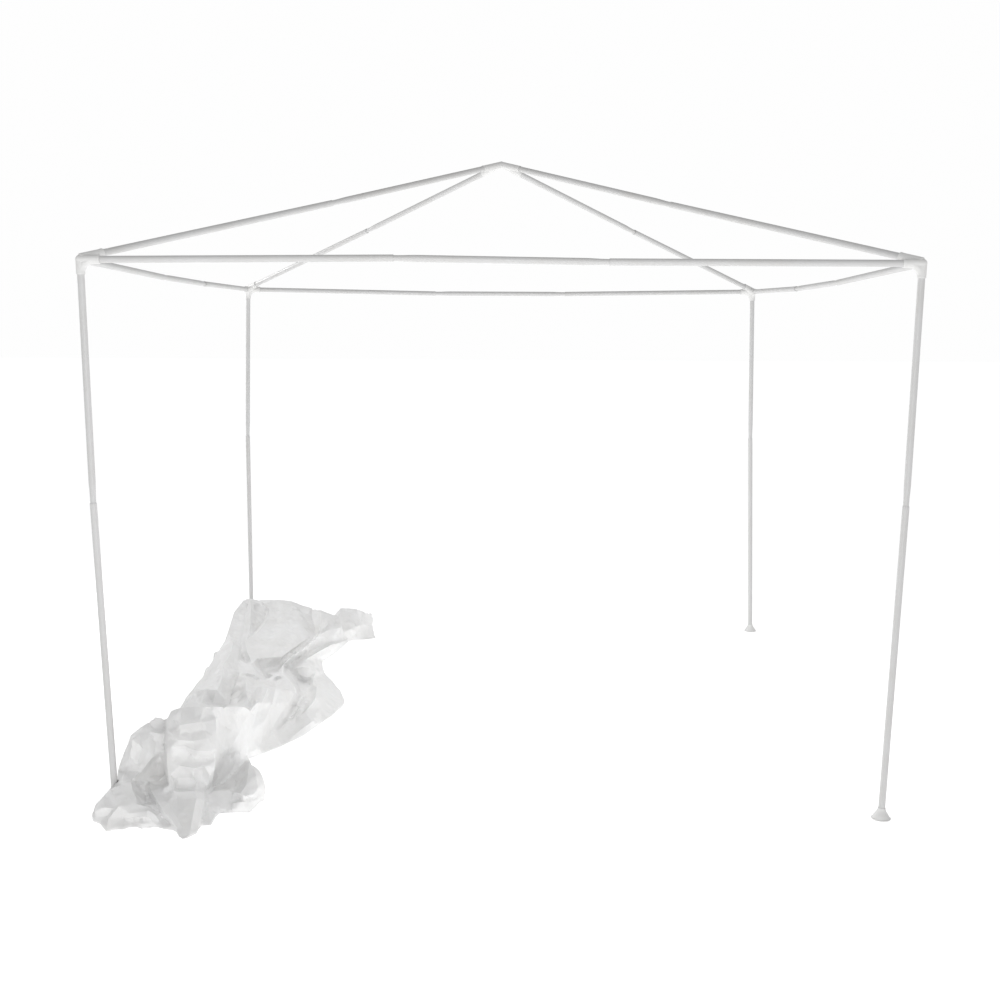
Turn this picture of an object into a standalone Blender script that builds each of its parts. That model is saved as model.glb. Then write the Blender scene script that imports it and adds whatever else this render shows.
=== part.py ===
"""Party tent: a slot-together steel frame with its roof cover lying crumpled along the left side.

Metres, +Z up, standing on z = 0. The frame is worked out about its own middle, then an empty
moves everything so that the origin is the middle of the whole footprint, cover included.
"""

import bpy
import bmesh
from math import cos, pi, sin
from mathutils import Vector
from mathutils.geometry import delaunay_2d_cdt

# Driving dimensions of the frame
SPAN = 2.96
EAVE_Z = 2.038
PEAK_Z = 2.563
RAFTER_LIFT = 0.006
EAVE_END_LENGTH = 1.10
LEG_JOINT_Z = 1.175
RAFTER_JOINT_SHARE = 0.53
RAFTER_SAG = 0.004

# Steel tube
TUBE_R = 0.0125
TUBE_WALL = 0.0008
BORE_R = TUBE_R - TUBE_WALL
NECK_R = 0.0104
NECK_TAPER = 0.075
NECK_STRAIGHT = 0.012
SPIGOT_LENGTH = 0.055
TUBE_SIDES = 12

# Clearance that touching pieces keep
GAP = 0.0003

# Moulded sockets
SOCKET_R = 0.0156
SOCKET_BORE_R = TUBE_R + GAP
LIP_R = 0.0166
LIP_LENGTH = 0.009
LIP_SLOPE_SHARE = 0.3
HUB_R = 0.0164
LEG_SOCKET = 0.052
LEG_SOCKET_FLOOR = 0.025
EAVE_SOCKET = 0.070
RAFTER_SOCKET = 0.090
SIDE_SOCKET_FLOOR = 0.036
FILLET_REACH = 0.050
FILLET_TUBE_R = 0.0148
FILLET_STEPS = 6
PEAK_SOCKET = 0.125
PEAK_SOCKET_R = 0.0143
PEAK_LIP_R = 0.0147
PEAK_SOCKET_FLOOR = 0.032
PEAK_HUB_R = 0.0150
BALL_RINGS = 8

# Feet
FOOT_R = 0.036
FOOT_PLATE = 0.0045
FOOT_FLARE_R = 0.0325
FOOT_NECK_R = 0.0145
FOOT_HEIGHT = 0.042
FOOT_SOCKET_FLOOR = 0.0052
FOOT_SIDES = 24
FOOT_STEPS = 6

# How far a cutter reaches past what it cuts, over the foot's leaning top, and up along the leg
CUT_PAST = 0.01
CUT_OVER_FOOT = 0.001
LEG_CUT_HEIGHT = 0.6

# Edges sharper than this stay sharp, and points nearer than this are one
SHARP_ANGLE = 35 * pi / 180
SAME_POINT = 1e-6

# Which way each corner lies from the middle: x, y
CORNERS = {
    "front_left": (-1, -1),
    "front_right": (1, -1),
    "back_left": (-1, 1),
    "back_right": (1, 1),
}

# The assembled frame stands a little out of true: how far each foot and each leg joint
# lies outside the line straight down from its corner, along x
FOOT_OUT = {"front_left": -0.055, "front_right": -0.055, "back_left": 0.022, "back_right": 0.050}
KNEE_OUT = {"front_left": 0.010, "front_right": 0.006, "back_left": 0.012, "back_right": -0.0065}

# Eave rails: end corners, then the rise of the two joints over the straight line
EAVES = {
    "front": ("front_left", "front_right", 0.010, 0.000),
    "back": ("back_left", "back_right", -0.019, -0.0185),
    "left": ("front_left", "back_left", -0.013, -0.011),
    "right": ("front_right", "back_right", -0.022, -0.022),
}

# Crumpled cover: its edge on the floor, then its ridges and hollows, as x, y and height
COVER_RIM = 0.015
COVER_FRONT_TIP = -1.690
COVER_LEFT_REACH = -(SPAN / 2 + FOOT_OUT["back_right"] + FOOT_R)
COVER_EDGE = [
    (-1.50, -1.50), (-1.44, -1.59), (-1.34, -1.56), (-1.24, -1.585), (-1.12, COVER_FRONT_TIP),
    (-1.06, -1.49), (-0.97, -1.43), (-0.91, -1.33), (-0.93, -1.20), (-1.04, -1.03), (-0.95, -0.80),
    (-0.85, -0.60), (-0.79, -0.32), (-0.75, -0.04), (-0.84, 0.10), (-0.91, 0.32), (-0.92, 0.58),
    (-0.87, 0.92), (-0.74, 1.18), (-0.74, 1.31), (-0.95, 1.33), (-1.20, 1.36), (-1.44, 1.36),
    (COVER_LEFT_REACH, 1.22),
    (-1.55, 0.70), (-1.52, 0.20), (-1.50, -0.30), (-1.47, -0.80), (-1.46, -1.20), (-1.51, -1.36),
]
COVER_FOLDS = {
    "left_ridge": [
        (-1.34, -1.06, 0.21), (-1.34, -0.72, 0.20), (-1.36, -0.30, 0.21), (-1.38, 0.10, 0.20),
        (-1.42, 0.52, 0.20), (-1.46, 0.92, 0.22), (-1.46, 1.20, 0.235),
    ],
    "back_ridge": [
        (-1.46, 1.20, 0.235), (-1.28, 1.22, 0.24), (-1.10, 1.21, 0.20), (-0.94, 1.19, 0.14),
        (-0.80, 1.26, 0.125),
    ],
    "left_lobe": [(-1.44, -1.47, 0.12), (-1.39, -1.40, 0.25), (-1.33, -1.33, 0.30), (-1.28, -1.20, 0.29)],
    "middle_lobe": [(-1.24, -1.42, 0.26), (-1.20, -1.36, 0.355), (-1.15, -1.26, 0.365), (-1.10, -1.12, 0.31)],
    "front_flap": [(-1.20, -1.50, 0.11), (-1.15, -1.58, 0.06)],
    "small_lobe": [(-0.98, -1.38, 0.08), (-0.95, -1.28, 0.12), (-0.99, -1.20, 0.10)],
    "front_gap": [(-1.05, -1.38, 0.045), (-1.05, -1.20, 0.045)],
    "right_ridge": [
        (-1.08, -1.02, 0.28), (-1.05, -0.78, 0.22), (-1.02, -0.50, 0.20), (-0.99, -0.25, 0.175),
        (-0.97, -0.05, 0.13),
    ],
    "right_apron": [(-0.91, -0.45, 0.04), (-0.87, -0.20, 0.07), (-0.86, 0.00, 0.06)],
    "middle": [
        (-1.20, -0.92, 0.25), (-1.20, -0.50, 0.19), (-1.20, -0.05, 0.20), (-1.20, 0.30, 0.21),
        (-1.22, 0.95, 0.23),
    ],
    "right_hollow": [(-1.11, 0.02, 0.12), (-1.06, 0.10, 0.12)],
    "back_shoulder": [(-0.94, 1.19, 0.14), (-0.99, 0.85, 0.165), (-1.02, 0.48, 0.16), (-1.02, 0.28, 0.155)],
}

# Where the frame's middle lies from the middle of the whole footprint
FRAME_SHIFT = (0, -(COVER_FRONT_TIP + SPAN / 2 + FOOT_R) / 2, 0)


def ring_axes(direction):
    """Two unit vectors square to a direction, alike for every piece on one line."""
    nearly_up = 0.8
    helper = Vector((0, 0, 1)) if abs(direction.z) < nearly_up else Vector((0, 1, 0))
    across = direction.cross(helper).normalized()
    return across, direction.cross(across).normalized()


def ring(centre, direction, radius, sides=TUBE_SIDES, axes=None):
    """Points of one regular ring about a centre, square to a direction."""
    across, up = axes or ring_axes(direction)
    points = []
    for step in range(sides):
        angle = 2 * pi * step / sides
        points.append(centre + radius * (cos(angle) * across + sin(angle) * up))
    return points


def new_object(name, bm):
    """An object in the scene from a finished bmesh, with its faces pointing out."""
    bmesh.ops.recalc_face_normals(bm, faces=bm.faces)
    mesh = bpy.data.meshes.new(name)
    bm.to_mesh(mesh)
    bm.free()
    thing = bpy.data.objects.new(name, mesh)
    bpy.context.collection.objects.link(thing)
    return thing


def loft(name, rings, closed=False):
    """A body through a list of rings: capped at both ends, or closed round onto itself."""
    bm = bmesh.new()
    loops = []
    for points in rings:
        loops.append([bm.verts.new(point) for point in points])
    pairs = list(zip(loops, loops[1:]))
    if closed:
        pairs.append((loops[-1], loops[0]))
    for first, second in pairs:
        count = len(first)
        for i in range(count):
            j = (i + 1) % count
            bm.faces.new((first[i], first[j], second[j], second[i]))
    if not closed:
        bm.faces.new(loops[0])
        bm.faces.new(loops[-1])
    return new_object(name, bm)


def combine(base, tool, operation):
    """Apply a Boolean of one object with another, and remove the other."""
    modifier = base.modifiers.new(operation.lower(), "BOOLEAN")
    modifier.operation = operation
    modifier.solver = "EXACT"
    modifier.object = tool
    depsgraph = bpy.context.evaluated_depsgraph_get()
    mesh = bpy.data.meshes.new_from_object(base.evaluated_get(depsgraph))
    base.modifiers.clear()
    base.data = mesh
    bpy.data.objects.remove(tool)


def rod(name, start, direction, first, last, radius, sides=TUBE_SIDES):
    """A plain round rod along a direction, between two distances from a start point."""
    ends = [ring(start + direction * reach, direction, radius, sides) for reach in (first, last)]
    return loft(name, ends)


def plain_end(end, way):
    """Outer and inner rings of a tube that is cut square."""
    return [ring(end, way, TUBE_R)], [ring(end, way, BORE_R)]


def spigot_end(point, outward, follow, sign):
    """Outer and inner rings, middle to tip, of a tube end drawn down to enter the next tube.
    The spigot turns at the joint's point to follow the next tube."""
    taper_start = point - outward * (NECK_STRAIGHT + NECK_TAPER)
    neck = point - outward * NECK_STRAIGHT
    reach = point + follow * NECK_STRAIGHT
    shoulder = reach + follow * NECK_STRAIGHT
    tip = point + follow * SPIGOT_LENGTH
    way = outward * sign
    bend = (outward + follow).normalized() * sign
    spigot_way = follow * sign
    spigot_r = BORE_R - GAP
    inner_r = NECK_R - TUBE_WALL
    outer = [
        ring(taper_start, way, TUBE_R),
        ring(neck, way, NECK_R),
        ring(point, bend, NECK_R),
        ring(reach, spigot_way, NECK_R),
        ring(shoulder, spigot_way, spigot_r),
        ring(tip, spigot_way, spigot_r),
    ]
    inner = [
        ring(taper_start, way, BORE_R),
        ring(neck, way, inner_r),
        ring(point, bend, inner_r),
        ring(tip, spigot_way, inner_r),
    ]
    return outer, inner


def tube_section(name, first, last):
    """One hollow tube between two ends. Each end is its point, the way out of the tube there,
    the way that its spigot follows into the next tube or None, and how short it is cut."""
    outer_sides = []
    inner_sides = []
    for sign, (point, outward, follow, trim) in ((-1, first), (1, last)):
        if follow is None:
            outer, inner = plain_end(point - outward * trim, outward * sign)
        else:
            outer, inner = spigot_end(point, outward, follow, sign)
        outer_sides.append(outer)
        inner_sides.append(inner)
    rings = outer_sides[0][::-1] + outer_sides[1] + inner_sides[1][::-1] + inner_sides[0]
    return loft(name, rings, closed=True)


def corner_point(corner):
    """Where the axes of a corner's leg and eave rails meet."""
    side_x, side_y = CORNERS[corner]
    return Vector((side_x * SPAN / 2, side_y * SPAN / 2, EAVE_Z))


def knee_point(corner):
    """The joint of a leg's two sections."""
    side_x, side_y = CORNERS[corner]
    drop = (EAVE_Z - LEG_JOINT_Z) / EAVE_Z
    out = FOOT_OUT[corner] * drop + KNEE_OUT[corner]
    return Vector((side_x * (SPAN / 2 + out), side_y * SPAN / 2, LEG_JOINT_Z))


def foot_point(corner):
    """The middle of a foot's underside."""
    side_x, side_y = CORNERS[corner]
    return Vector((side_x * (SPAN / 2 + FOOT_OUT[corner]), side_y * SPAN / 2, 0))


def eave_joints(eave):
    """The two joints of one eave rail."""
    first, last, first_rise, last_rise = EAVES[eave]
    start = corner_point(first)
    end = corner_point(last)
    along = (end - start).normalized()
    reach = along * EAVE_END_LENGTH
    return start + reach + Vector((0, 0, first_rise)), end - reach + Vector((0, 0, last_rise))


def rafter_points(corner):
    """The lower end, the joint and the upper end of a rafter's axis."""
    low = corner_point(corner) + Vector((0, 0, RAFTER_LIFT))
    high = Vector((0, 0, PEAK_Z))
    return low, low.lerp(high, RAFTER_JOINT_SHARE) - Vector((0, 0, RAFTER_SAG)), high


def make_leg(corner):
    """A leg's lower and upper sections: the upper one's spigot drops into the lower one."""
    knee = knee_point(corner)
    foot = foot_point(corner)
    top = corner_point(corner)
    down = (foot - knee).normalized()
    up = (top - knee).normalized()
    lower = tube_section(
        f"leg_{corner}_lower", (foot, down, None, FOOT_SOCKET_FLOOR + GAP), (knee, -down, None, 0)
    )
    upper = tube_section(
        f"leg_{corner}_upper", (knee, -up, down, 0), (top, up, None, LEG_SOCKET_FLOOR + GAP)
    )
    return [lower, upper]


def make_eave(eave):
    """An eave rail's two end sections, and the middle one with a spigot at each end."""
    first, last = EAVES[eave][:2]
    start = corner_point(first)
    end = corner_point(last)
    first_joint, last_joint = eave_joints(eave)
    first_way = (first_joint - start).normalized()
    middle_way = (last_joint - first_joint).normalized()
    last_way = (end - last_joint).normalized()
    names = ("left", "middle", "right") if eave in ("front", "back") else ("front", "middle", "back")
    cut = SIDE_SOCKET_FLOOR + GAP
    first_piece = tube_section(
        f"eave_{eave}_{names[0]}", (start, -first_way, None, cut), (first_joint, first_way, None, 0)
    )
    middle_piece = tube_section(
        f"eave_{eave}_{names[1]}",
        (first_joint, -middle_way, -first_way, 0),
        (last_joint, middle_way, last_way, 0),
    )
    last_piece = tube_section(
        f"eave_{eave}_{names[2]}", (last_joint, -last_way, None, 0), (end, last_way, None, cut)
    )
    return [first_piece, middle_piece, last_piece]


def make_rafter(corner):
    """A rafter's lower and upper sections."""
    low, joint, high = rafter_points(corner)
    low_way = (joint - low).normalized()
    high_way = (high - joint).normalized()
    lower = tube_section(
        f"rafter_{corner}_lower", (low, -low_way, None, SIDE_SOCKET_FLOOR + GAP), (joint, low_way, None, 0)
    )
    upper = tube_section(
        f"rafter_{corner}_upper",
        (joint, -high_way, -low_way, 0),
        (high, high_way, None, PEAK_SOCKET_FLOOR + GAP),
    )
    return [lower, upper]


def make_socket(name, centre, direction, length, radius, lip_radius):
    """A moulded socket, solid so far, with a thicker lip round its mouth."""
    profile = [
        (0.0, radius),
        (length - LIP_LENGTH, radius),
        (length - LIP_LENGTH * (1 - LIP_SLOPE_SHARE), lip_radius),
        (length, lip_radius),
    ]
    return loft(name, [ring(centre + direction * reach, direction, r) for reach, r in profile])


def make_fillet(name, centre, first, second):
    """A quarter bend that rounds the inner corner between two sockets."""
    middle = centre + (first + second) * FILLET_REACH / (1 + first.dot(second))
    start = centre + first * FILLET_REACH - middle
    end = centre + second * FILLET_REACH - middle
    normal = first.cross(second).normalized()
    rings = []
    for step in range(FILLET_STEPS + 1):
        spoke = start.slerp(end, step / FILLET_STEPS).normalized()
        across = spoke.cross(normal)
        point = middle + spoke * start.length
        rings.append(ring(point, across, FILLET_TUBE_R, axes=(spoke, normal)))
    return loft(name, rings)


def ball(name, centre, radius):
    """A round solid."""
    bm = bmesh.new()
    bmesh.ops.create_uvsphere(bm, u_segments=TUBE_SIDES, v_segments=BALL_RINGS, radius=radius)
    bmesh.ops.translate(bm, vec=centre, verts=bm.verts)
    return new_object(name, bm)


def make_corner_connector(corner):
    """The four-way elbow that holds a leg, two eave rails and a rafter."""
    centre = corner_point(corner)
    leg_way = (knee_point(corner) - centre).normalized()
    low, joint, _ = rafter_points(corner)
    rafter_way = (joint - low).normalized()
    eave_ways = []
    for eave, (first, last, _, _) in EAVES.items():
        if corner in (first, last):
            joint = eave_joints(eave)[0 if corner == first else 1]
            eave_ways.append((joint - centre).normalized())
    ways = [(centre, leg_way, LEG_SOCKET, LEG_SOCKET_FLOOR, SOCKET_R)]
    for way in eave_ways:
        ways.append((centre, way, EAVE_SOCKET, SIDE_SOCKET_FLOOR, LIP_R))
    ways.append((low, rafter_way, RAFTER_SOCKET, SIDE_SOCKET_FLOOR, LIP_R))
    body = ball(f"corner_connector_{corner}", centre, HUB_R)
    for start, way, length, _, lip_radius in ways:
        combine(body, make_socket("socket", start, way, length, SOCKET_R, lip_radius), "UNION")
    for first, second in ((leg_way, eave_ways[0]), (leg_way, eave_ways[1]), (eave_ways[0], eave_ways[1])):
        combine(body, make_fillet("fillet", centre, first, second), "UNION")
    for start, way, length, floor, _ in ways:
        bore = rod("bore", start, way, floor, length + CUT_PAST, SOCKET_BORE_R)
        combine(body, bore, "DIFFERENCE")
    return body


def make_peak_connector():
    """The four-way connector that holds the rafters together at the top."""
    peak = Vector((0, 0, PEAK_Z))
    body = ball("peak_connector", peak, PEAK_HUB_R)
    ways = []
    for corner in CORNERS:
        _, joint, high = rafter_points(corner)
        ways.append((joint - high).normalized())
    for way in ways:
        socket = make_socket("socket", peak, way, PEAK_SOCKET, PEAK_SOCKET_R, PEAK_LIP_R)
        combine(body, socket, "UNION")
    for way in ways:
        bore = rod("bore", peak, way, PEAK_SOCKET_FLOOR, PEAK_SOCKET + CUT_PAST, SOCKET_BORE_R)
        combine(body, bore, "DIFFERENCE")
    return body


def foot_radius(share):
    """The bell shape of a foot's socket: its radius at a share of its height."""
    return FOOT_NECK_R + (FOOT_FLARE_R - FOOT_NECK_R) * (1 + cos(pi * share)) / 2


def make_foot(corner):
    """A flat round foot with a bell-shaped socket, which leans with its leg."""
    base = foot_point(corner)
    up = (knee_point(corner) - base).normalized()
    level = Vector((0, 0, 1))
    body = rod(f"foot_{corner}", base, level, 0, FOOT_PLATE, FOOT_R, FOOT_SIDES)
    rings = [ring(base + level * FOOT_PLATE / 2, level, FOOT_FLARE_R, FOOT_SIDES)]
    for step in range(1, FOOT_STEPS + 1):
        share = step / FOOT_STEPS
        way = level.slerp(up, share)
        rings.append(ring(base + way * FOOT_HEIGHT * share, way, foot_radius(share), FOOT_SIDES))
    combine(body, loft("bell", rings), "UNION")
    bore = rod("bore", base, up, FOOT_SOCKET_FLOOR, FOOT_HEIGHT + CUT_PAST, SOCKET_BORE_R)
    combine(body, bore, "DIFFERENCE")
    return body


def make_cover():
    """The fallen roof cover, as one closed mound of its outer shape."""
    points = []
    heights = []
    edges = []
    for x, y in COVER_EDGE:
        points.append(Vector((x, y)))
        heights.append(COVER_RIM)
    rim_count = len(points)
    for i in range(rim_count):
        edges.append((i, (i + 1) % rim_count))
    for fold in COVER_FOLDS.values():
        previous = None
        for x, y, height in fold:
            here = find_or_add(points, heights, x, y, height)
            if previous is not None:
                edges.append((previous, here))
            previous = here
    flat_points, _, triangles, origins, _, _ = delaunay_2d_cdt(points, edges, [], 1, SAME_POINT)
    bm = bmesh.new()
    top = []
    for point, sources in zip(flat_points, origins):
        top.append(bm.verts.new((point.x, point.y, heights[sources[0]])))
    for triangle in triangles:
        corners = [top[i] for i in triangle]
        middle = sum((corner.co for corner in corners), Vector()) / 3
        if inside_edge(middle):
            bm.faces.new(corners)
    for vert in [vert for vert in bm.verts if not vert.link_faces]:
        bm.verts.remove(vert)
    rim = [edge for edge in bm.edges if len(edge.link_faces) == 1]
    wall = bmesh.ops.extrude_edge_only(bm, edges=rim)
    low = [item for item in wall["geom"] if isinstance(item, bmesh.types.BMVert)]
    for vert in low:
        vert.co.z = 0
    low_edges = [item for item in wall["geom"] if isinstance(item, bmesh.types.BMEdge)]
    bmesh.ops.contextual_create(bm, geom=low_edges)
    body = new_object("roof_cover", bm)
    cut_leg_well(body, "front_left")
    return body


def find_or_add(points, heights, x, y, height):
    """The index of a fold's point, shared where folds meet."""
    for index, point in enumerate(points):
        if (point - Vector((x, y))).length < SAME_POINT:
            return index
    points.append(Vector((x, y)))
    heights.append(height)
    return len(points) - 1


def inside_edge(point):
    """Whether a point lies inside the cover's edge, seen from above."""
    inside = False
    for (x0, y0), (x1, y1) in zip(COVER_EDGE, COVER_EDGE[1:] + COVER_EDGE[:1]):
        if (y0 > point.y) != (y1 > point.y) and point.x < x0 + (point.y - y0) * (x1 - x0) / (y1 - y0):
            inside = not inside
    return inside


def cut_leg_well(body, corner):
    """Clear the cover round a leg and its foot, which it lies against."""
    base = foot_point(corner)
    up = (knee_point(corner) - base).normalized()
    level = Vector((0, 0, 1))
    top = FOOT_HEIGHT + CUT_OVER_FOOT
    clear_foot = rod("clear_foot", base, level, -CUT_PAST, top, FOOT_R + GAP, FOOT_SIDES)
    combine(body, clear_foot, "DIFFERENCE")
    leg = rod("clear_leg", base, up, CUT_PAST, LEG_CUT_HEIGHT, TUBE_R + GAP)
    combine(body, leg, "DIFFERENCE")


def plain_material(name, colour, roughness, metallic):
    """A Principled material of one colour."""
    material = bpy.data.materials.new(name)
    material.use_nodes = True
    shader = material.node_tree.nodes["Principled BSDF"]
    shader.inputs["Base Color"].default_value = (*colour, 1.0)
    shader.inputs["Roughness"].default_value = roughness
    shader.inputs["Metallic"].default_value = metallic
    return material


def painted_steel(name):
    """White paint on steel tube."""
    return plain_material(name, (0.80, 0.80, 0.80), 0.35, 0.0)


def white_plastic(name):
    """White moulded plastic."""
    return plain_material(name, (0.84, 0.84, 0.83), 0.45, 0.0)


def cover_sheet(name):
    """White polyethylene sheet."""
    return plain_material(name, (0.82, 0.82, 0.82), 0.55, 0.0)


def finish(things, material_for, frame_middle):
    """Give each piece its own material and smooth round sides, and set it on the frame's middle."""
    for thing in things:
        thing.data.materials.clear()
        thing.data.materials.append(material_for(f"{thing.name}_material"))
        thing.data.shade_smooth()
        thing.data.set_sharp_from_angle(angle=SHARP_ANGLE)
        thing.parent = frame_middle


def main():
    for thing in list(bpy.data.objects):
        bpy.data.objects.remove(thing)
    frame_middle = bpy.data.objects.new("frame_middle", None)
    frame_middle.location = FRAME_SHIFT
    bpy.context.collection.objects.link(frame_middle)
    tubes = []
    for corner in CORNERS:
        tubes += make_leg(corner)
    for eave in EAVES:
        tubes += make_eave(eave)
    for corner in CORNERS:
        tubes += make_rafter(corner)
    mouldings = []
    for corner in CORNERS:
        mouldings.append(make_corner_connector(corner))
    mouldings.append(make_peak_connector())
    for corner in CORNERS:
        mouldings.append(make_foot(corner))
    finish(tubes, painted_steel, frame_middle)
    finish(mouldings, white_plastic, frame_middle)
    finish([make_cover()], cover_sheet, frame_middle)


main()
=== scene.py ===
"""Party tent: the dressed model of the slot-together frame and its crumpled roof cover."""

import random
from itertools import combinations
from math import cos, pi, sin

import bmesh
import bpy
import numpy
from mathutils import Matrix, Vector, noise as wander
from mathutils.bvhtree import BVHTree
from mathutils.geometry import delaunay_2d_cdt, intersect_point_line
from mathutils.kdtree import KDTree


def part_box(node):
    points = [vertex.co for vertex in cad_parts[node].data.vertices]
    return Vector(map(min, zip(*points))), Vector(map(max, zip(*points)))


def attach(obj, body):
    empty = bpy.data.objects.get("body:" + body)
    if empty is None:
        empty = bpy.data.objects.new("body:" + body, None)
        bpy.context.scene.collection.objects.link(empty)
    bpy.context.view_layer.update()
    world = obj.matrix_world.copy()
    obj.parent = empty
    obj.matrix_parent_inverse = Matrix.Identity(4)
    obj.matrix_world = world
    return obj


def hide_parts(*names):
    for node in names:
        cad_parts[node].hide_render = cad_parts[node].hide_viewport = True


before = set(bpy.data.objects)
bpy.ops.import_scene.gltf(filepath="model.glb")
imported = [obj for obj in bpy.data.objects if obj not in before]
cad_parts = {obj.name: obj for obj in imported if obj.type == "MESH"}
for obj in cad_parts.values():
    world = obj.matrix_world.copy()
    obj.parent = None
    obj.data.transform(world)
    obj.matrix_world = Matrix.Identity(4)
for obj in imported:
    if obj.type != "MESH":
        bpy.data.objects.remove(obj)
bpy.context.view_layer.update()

# Driving dimensions of the frame, in metres
SPAN = 2.96
EAVE_Z = 2.038
PEAK_Z = 2.563
RAFTER_LIFT = 0.006
EAVE_END_LENGTH = 1.10
LEG_JOINT_Z = 1.175
RAFTER_JOINT_SHARE = 0.53
RAFTER_SAG = 0.004

# Steel tube: the plain end's rolled rim, then the end that is drawn down to enter the next tube
TUBE_R = 0.0125
TUBE_WALL = 0.0008
BORE_R = TUBE_R - TUBE_WALL
RIM_ROUND = 0.0003
NECK_R = 0.0104
NECK_TAPER = 0.075
NECK_STRAIGHT = 0.012
NECK_STEPS = 12
SPIGOT_LENGTH = 0.055
TUBE_SIDES = 48
GAP = 0.0003
SHARP_ANGLE = 38 * pi / 180

# Moulded sockets
SOCKET_R = 0.0156
SOCKET_BORE_R = TUBE_R + GAP
LIP_R = 0.0166
LIP_LENGTH = 0.009
LIP_ROUND = 0.0007
MOUTH_CHAMFER = 0.0006
HUB_R = 0.0164
LEG_SOCKET = 0.052
LEG_SOCKET_FLOOR = 0.025
EAVE_SOCKET = 0.070
RAFTER_SOCKET = 0.090
SIDE_SOCKET_FLOOR = 0.036
FILLET_REACH = 0.050
FILLET_TUBE_R = 0.0148
FILLET_STEPS = 16
PEAK_SOCKET = 0.125
PEAK_SOCKET_R = 0.0143
PEAK_LIP_R = 0.0147
PEAK_SOCKET_FLOOR = 0.032
PEAK_HUB_R = 0.0150
MOULDING_VOXEL = 0.0011
MOULDING_SMOOTHING = 6

# Feet
FOOT_R = 0.036
FOOT_PLATE = 0.0045
FOOT_ROUND = 0.0012
FOOT_FLARE_R = 0.0325
FOOT_NECK_R = 0.0145
FOOT_HEIGHT = 0.042
FOOT_SOCKET_FLOOR = 0.0052
FOOT_SIDES = 96
FOOT_STEPS = 18
FOOT_FIRST_STEP = 2

# Which way each corner lies from the middle: x, y
CORNERS = {
    "front_left": (-1, -1),
    "front_right": (1, -1),
    "back_left": (-1, 1),
    "back_right": (1, 1),
}

# How far each foot and each leg joint stands out of true along x
FOOT_OUT = {"front_left": -0.055, "front_right": -0.055, "back_left": 0.022, "back_right": 0.050}
KNEE_OUT = {"front_left": 0.010, "front_right": 0.006, "back_left": 0.012, "back_right": -0.0065}

# Eave rails: end corners, then the rise of the two joints over the straight line
EAVES = {
    "front": ("front_left", "front_right", 0.010, 0.000),
    "back": ("back_left", "back_right", -0.019, -0.0185),
    "left": ("front_left", "back_left", -0.013, -0.011),
    "right": ("front_right", "back_right", -0.022, -0.022),
}

# The visible shell: an even mesh, cut off just over the floor and held at its edge
COVER_VOXEL = 0.008
COVER_CELLAR = -0.08
COVER_FLOOR_CUT = 0.004
COVER_SHARP_ANGLE = 24 * pi / 180

# How near counts as together: the folds' points, in pixels, the facets' corners, in pixels too, and
# the vertices that lie on the floor cut, in metres
SAME_PIXEL = 0.3
SAME_SPOT = 1e-4
CUT_REACH = 1e-5

# Pleats on the side that doesn't show: how deep they lie, how much of that outwards, and where
# between the crest and the floor
COVER_BACK_Z = 0.01
PLEAT_COUNT = 26
PLEAT_SEED = 2
PLEAT_DEPTH = (0.015, 0.035)
PLEAT_OUT_SHARE = 0.15
PLEAT_SHARES = (0.35, 0.65)
PLEAT_LOOK = 0.01
ROUNDING = 1e-9

# Large folds: points this close to one lie on it, and the sheet between them is softened
FOLD_STEP = 0.0015
FOLD_SNAP = 0.0056
FOLD_KEEP = 0.8
FOLD_REACH = 0.012
SOFTEN_STEP = 0.6
SOFTEN_ROUNDS = 2

# Shallow creases in several directions, stronger where the sheet is bare of large folds
CREASE_SEED = 4
CREASE_COUNT = 12
CREASE_LENGTHS = (0.10, 0.24)
CREASE_HEIGHT = 0.05
CREASE_PLACES = 50
CREASE_WARP = 0.35
CREASE_WARP_SCALE = 3
CREASE_FADE = 0.25
CREASE_FADE_SCALE = 4.5
CREASE_FROM_FOLD = 0.04
CREASE_FROM_FLOOR = (0.01, 0.04)
CREASE_BARE = (0.05, 0.15)
CREASE_BARE_SHARE = 2.4
CREASE_SINK = 0.002

# Small folds: the sheet grows by 2 % while it is held near its large folds
COVER_FRAMES = 16
HOLD_REACH = 0.03
HOLD_STRENGTH = 0.9
HOLD_LEAST = 0.02
GROUND_SIZE = 8
GROUND_GAP = 0.002
CLOTH_GAP = 0.003
CLOTH_WEIGHT = 0.3
CLOTH = {
    "quality": 5, "mass": 0.15, "air_damping": 2, "bending_stiffness": 6,
    "tension_stiffness": 40, "compression_stiffness": 40, "shear_stiffness": 20,
    "tension_damping": 8, "compression_damping": 8, "shear_damping": 8,
    "shrink_min": -0.02, "shrink_max": -0.02,
}

# The layers folded under: the heap's middle line in metres from the frame's middle, and for each
# pass its first and last share of the way from the edge to that line, and its share of the height
COVER_MIDDLE_LINE = [(-1.28, -1.25), (-1.2, -0.6), (-1.2, 0.0), (-1.15, 0.6), (-1.15, 1.15)]
COVER_PASSES = [(0.01, 0.93, 0.86), (0.93, 0.05, 0.68), (0.05, 0.9, 0.5)]
PASS_STEPS = 22
RIM_STEP = 4
EDGE_SHARE = 0.06
FLOOR_LAYER = 0.003
ROOM_CELL = 0.01
ROOM_MARGIN_CELLS = 2

# Room round the leg and the foot that stand in the heap
LEG_CLEAR_R = 0.0165
LEG_CLEAR_Z = 1
FOOT_CLEAR_R = 0.041
FOOT_CLEAR_Z = 0.050
RIM_TRIM = COVER_VOXEL * 1.5

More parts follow.
